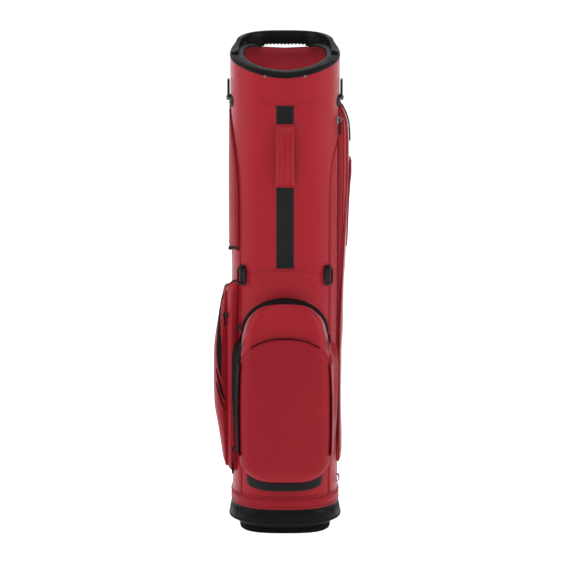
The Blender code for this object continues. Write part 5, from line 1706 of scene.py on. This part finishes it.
def make_band():
    """The padded red band between skirt and shell, piped along both edges."""
    section = ((-3.9, 46.6), (0.2, 46.6), (1.2, 47.6), (1.9, 50), (2.5, 54), (2.7, 57.5), (2.5, 61),
               (1.9, 65), (1.1, 67.4), (0.2, 68.4), (-3.9, 68.4))
    rings = []
    turns = spread(0, 1, 200)[:-1]
    for turn in turns:
        ring = []
        for out, z in section:
            place = sin(2 * pi * turn) * 0.1, cos(2 * pi * turn) * 0.1, z * MM
            swell = 0.35 * wobble(place, 0.02, 21) if out > 1 else 0
            ring.append(on_shell(turn, z * MM, (out + swell) * MM))
        rings.append(ring)
    loft("base_band_cloth", rings, "red_trim", closed=True, replaces=("base_band",))
    for name, z, out in (("low", 47.0, 1.0), ("high", 68.2, 0.9)):
        tube(f"base_band_piping_{name}", [on_shell(turn, z * MM, out * MM) for turn in turns], 1.0 * MM,
             "red_satin", sides=8, closed=True)
    rows = [([on_shell(turn, z * MM, 2.35 * MM) for turn in turns], [outward(turn) for turn in turns])
            for z in (50.6, 64.6)]
    stitches("base_band_stitches", rows)


def make_foot():
    """The rubber sole that tips, with its tongue behind and its hinge knuckle."""
    profile = ((76, 86, 0.1), (78.6, 88.6, 0.0), (79.7, 89.7, 0.8), (80, 90, 2.2), (80, 90, 3.6),
               (79.1, 89.1, 4.2), (79.1, 89.1, 5.2), (80, 90, 5.8), (80, 90, 7.6), (79.1, 89.1, 8.2),
               (79.1, 89.1, 9.2), (80, 90, 9.8), (80, 90, 11.0), (79.4, 89.4, 11.8), (77.5, 87.5, 12),
               (40, 46, 12))
    loft("foot_sole", [oval(a, b, z, 3, 180) for a, b, z in profile], "black_rubber", body="foot",
         replaces=("foot_plate",), sharp=50)
    shape = bmesh.new()
    add_block(shape, (72 * MM, 50 * MM, 8 * MM), (0, 99 * MM, 7 * MM), None, 2 * MM)
    add_block(shape, (44 * MM, 13 * MM, 12 * MM), (0, 117.5 * MM, 14.5 * MM), None, 1.6 * MM)
    for x in (-27, -18, -9, 0, 9, 18, 27):
        add_block(shape, (2.4 * MM, 17 * MM, 1.2 * MM), (x * MM, 101.5 * MM, 10.7 * MM), None, 0.4 * MM)
    piece("foot_tongue", shape, "black_rubber", "foot", sharp=50)
    shape = bmesh.new()
    profile = in_mm(((6.6, 0), (7.7, 0.4), (8, 1.4), (8, 108.6), (7.7, 109.6), (6.6, 110)))
    add_turned(shape, profile, FOOT_HINGE - Vector((55 * MM, 0, 0)), Vector((1, 0, 0)))
    add_block(shape, (109 * MM, 13 * MM, 10 * MM), (0, 40 * MM, 14.6 * MM), None, 1 * MM)
    piece("foot_knuckle", shape, "black_rubber", "foot", sharp=50)


# ---- Legs ------------------------------------------------------------------------------------------------

LEG_PIVOT = Vector((50 * MM, 124 * MM, 765 * MM))
LEG_LENGTH = 660 * MM
LEG_SPLAY = radians(26)
ROD_PIN_BELOW = 184.1 * MM
ROD_PIN_INSIDE = 14 * MM


def mirrored(point, sign):
    return Vector((sign * point.x, point.y, point.z))


def leg_axis(sign):
    return Vector((cos(LEG_SPLAY), -sign * sin(LEG_SPLAY), 0))


def make_bracket():
    """The moulded bracket with a pair of ears for each leg, riveted through the shell."""
    section = ((-0.6, 743.5), (0.6, 742.4), (3.6, 742.2), (4.7, 743.2), (5.1, 745.5), (5.3, 766),
               (5.1, 786.5), (4.7, 788.8), (3.6, 789.8), (0.6, 789.6), (-0.6, 788.5))
    rings = []
    for turn in spread(0.377, 0.623, 70):
        share = abs(turn - 0.5) / 0.123
        shrink = 1 - 0.12 * soft_ramp(share, 0.9, 1.0)
        ends = 1 - 0.75 * soft_ramp(share, 0.97, 1.0)
        rings.append([on_shell(turn, (766 + (z - 766) * shrink) * MM, (0.6 + (out - 0.6) * ends) * MM)
                      for out, z in section])
    loft("leg_mount", rings, "black_plastic", replaces=("leg_bracket",))
    for side, sign in SIDES.items():
        pivot, axis = mirrored(LEG_PIVOT, sign), leg_axis(sign)
        outwards = axis.cross(DOWN)
        shape = bmesh.new()
        for offset in (-8.7, 8.7):
            outline = [(-24, -12), (-12, -10.6)]
            outline += [(10 * cos(a), 10 * sin(a)) for a in spread(-pi / 2, pi / 2, 14)]
            outline += [(-12, 10.6), (-24, 12)]
            rings = []
            for depth, shrink in ((-1.8, 0.9), (-1.3, 1), (1.3, 1), (1.8, 0.9)):
                middle = pivot + axis * (offset + depth) * MM
                rings.append([middle + outwards * o * shrink * MM + UP * u * shrink * MM for o, u in outline])
            add_loft(shape, rings)
            way = axis * (1 if offset > 0 else -1)
            start = pivot + axis * offset * MM
            profile = in_mm(((5.2, 1.5), (5.2, 2.3), (4.6, 2.9), (2.6, 2.9), (2.4, 2.2), (0.3, 2.2)))
            add_turned(shape, profile, start, way, 20)
        piece(f"leg_mount_ears_{side}", shape, "black_plastic")
    profile = in_mm(((3.4, 0), (3.4, 0.4), (2.9, 1.1), (1.9, 1.5), (0.2, 1.7)))
    places = [(turn, z) for turn in (0.385, 0.5, 0.615) for z in (751, 781)]
    for number, (turn, z) in enumerate(places):
        turned(f"leg_mount_rivet_{number}", profile, on_shell(turn, z * MM, 4.9 * MM), outward(turn),
               "gunmetal", 20)


def make_leg(side, sign):
    """A leg: its pivoted head, tube, ridged tip, the clip for the push rod, and the pivot's pin."""
    pivot, axis = mirrored(LEG_PIVOT, sign), leg_axis(sign)
    body = f"leg_{side}"
    shape = bmesh.new()
    add_turned(shape, in_mm(((7.6, 12.6), (8.8, 13), (9.5, 14.4), (9.5, 33), (9.2, 33.6), (9.2, 34.4),
                             (9.5, 35), (9.5, 37), (8.9, 38), (7.2, 38))), pivot, DOWN)
    add_block(shape, (11.4 * MM, 14 * MM, 17 * MM), pivot + DOWN * 8.5 * MM,
              Matrix.Rotation(atan2(axis.y, axis.x), 3, "Z"), 1.2 * MM)
    add_turned(shape, in_mm(((7.4, 0), (8.3, 0.5), (8.5, 1.4), (8.5, 11.2), (8.3, 12.1), (7.4, 12.6))),
               pivot - axis * 6.3 * MM, axis)
    piece(f"leg_{side}_yoke", shape, "black_plastic", body, (f"leg_{side}_head",), sharp=50)
    low = LEG_LENGTH / MM
    end = low - 12
    turned(f"leg_{side}_shaft", in_mm(((6.2, 21), (7, 21.6), (7, 300), (7, end - 0.6), (6.2, end))), pivot,
           DOWN, "aluminium", 40, body=body, replaces=(f"leg_{side}_tube",))
    rows = [(8.2, low - 45), (9.2, low - 44.6), (9.6, low - 43.6)]
    for ridge in range(5):
        at = low - 38 + ridge * 4.6
        radius = 9.5 + 0.15 * ridge
        rows += [(radius, at), (radius - 0.9, at + 0.6), (radius - 0.9, at + 1.8), (radius + 0.1, at + 2.4)]
    rows += [(10.7, low - 8), (11, low - 4), (10.9, low - 1.6), (10, low - 0.4), (8, low), (0.5, low)]
    turned(f"leg_{side}_shoe", in_mm(rows), pivot, DOWN, "black_rubber", 36, body=body,
           replaces=(f"leg_{side}_tip",))
    place = pivot + DOWN * ROD_PIN_BELOW
    shape = bmesh.new()
    add_turned(shape, in_mm(((7.6, -10), (10.2, -9.9), (11, -9), (11, -5.4), (10.4, -4.8), (10.4, 4.8),
                             (11, 5.4), (11, 9), (10.2, 9.9), (7.6, 10))), place, DOWN)
    add_turned(shape, in_mm(((2, 8), (2, 16.5), (6, 16.6), (6.5, 17), (6.5, 18.1), (6, 18.6), (0.4, 18.7))),
               place, -axis * sign, 24)
    piece(f"leg_{side}_collar", shape, "black_plastic", body, (f"leg_{side}_clip",), sharp=50)
    turned(f"leg_{side}_axle", in_mm(((2.4, 0), (3, 0.5), (3, 24.5), (2.4, 25))), pivot - axis * 12.5 * MM,
           axis, "steel", 24, replaces=(f"leg_{side}_pin",))


def make_push_rod(side, sign):
    """The wire from the foot's tongue up to the leg, bent into a long eye at its top."""
    pivot, axis = mirrored(LEG_PIVOT, sign), leg_axis(sign)
    foot = mirrored(ROD_FOOT, sign)
    pin = pivot + DOWN * ROD_PIN_BELOW - axis * sign * ROD_PIN_INSIDE
    up = (pin - foot).normalized()
    across = axis.cross(up).normalized()
    shape = bmesh.new()
    outline = []
    for middle, first in ((-8.0, pi), (1.0, 0.0)):
        for angle in spread(first, first + pi, 12):
            outline.append(pin + (across * 5.3 * cos(angle) + up * (middle + 5.3 * sin(angle))) * MM)
    add_tube(shape, outline, 1.6 * MM, 10, closed=True)
    bend = [foot - Vector((sign * 19 * MM, 0, 0)), foot - Vector((sign * 5 * MM, 0, 0)), foot,
            foot + up * 5 * MM]
    line = rounded(bend, 1.2 * MM, 2) + [foot + up * 30 * MM, pin - up * 60 * MM, pin - up * 13.4 * MM]
    add_tube(shape, line, 2.0 * MM, 14)
    piece(f"rod_{side}_wire", shape, "steel", f"rod_{side}", (f"push_rod_{side}",), sharp=60)


def finish_cad_nodes():
    """The CAD nodes that still show get their finished materials."""
    for name, material in (("foot_hinge_pin", "steel"), ("stay_rod_left", "grey_plastic"),
                           ("stay_rod_right", "grey_plastic")):
        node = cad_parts[name]
        node.data.materials.clear()
        node.data.materials.append(MATERIALS[material])


make_base()
make_band()
make_foot()
make_bracket()
for side, sign in SIDES.items():
    make_leg(side, sign)
    make_push_rod(side, sign)
finish_cad_nodes()
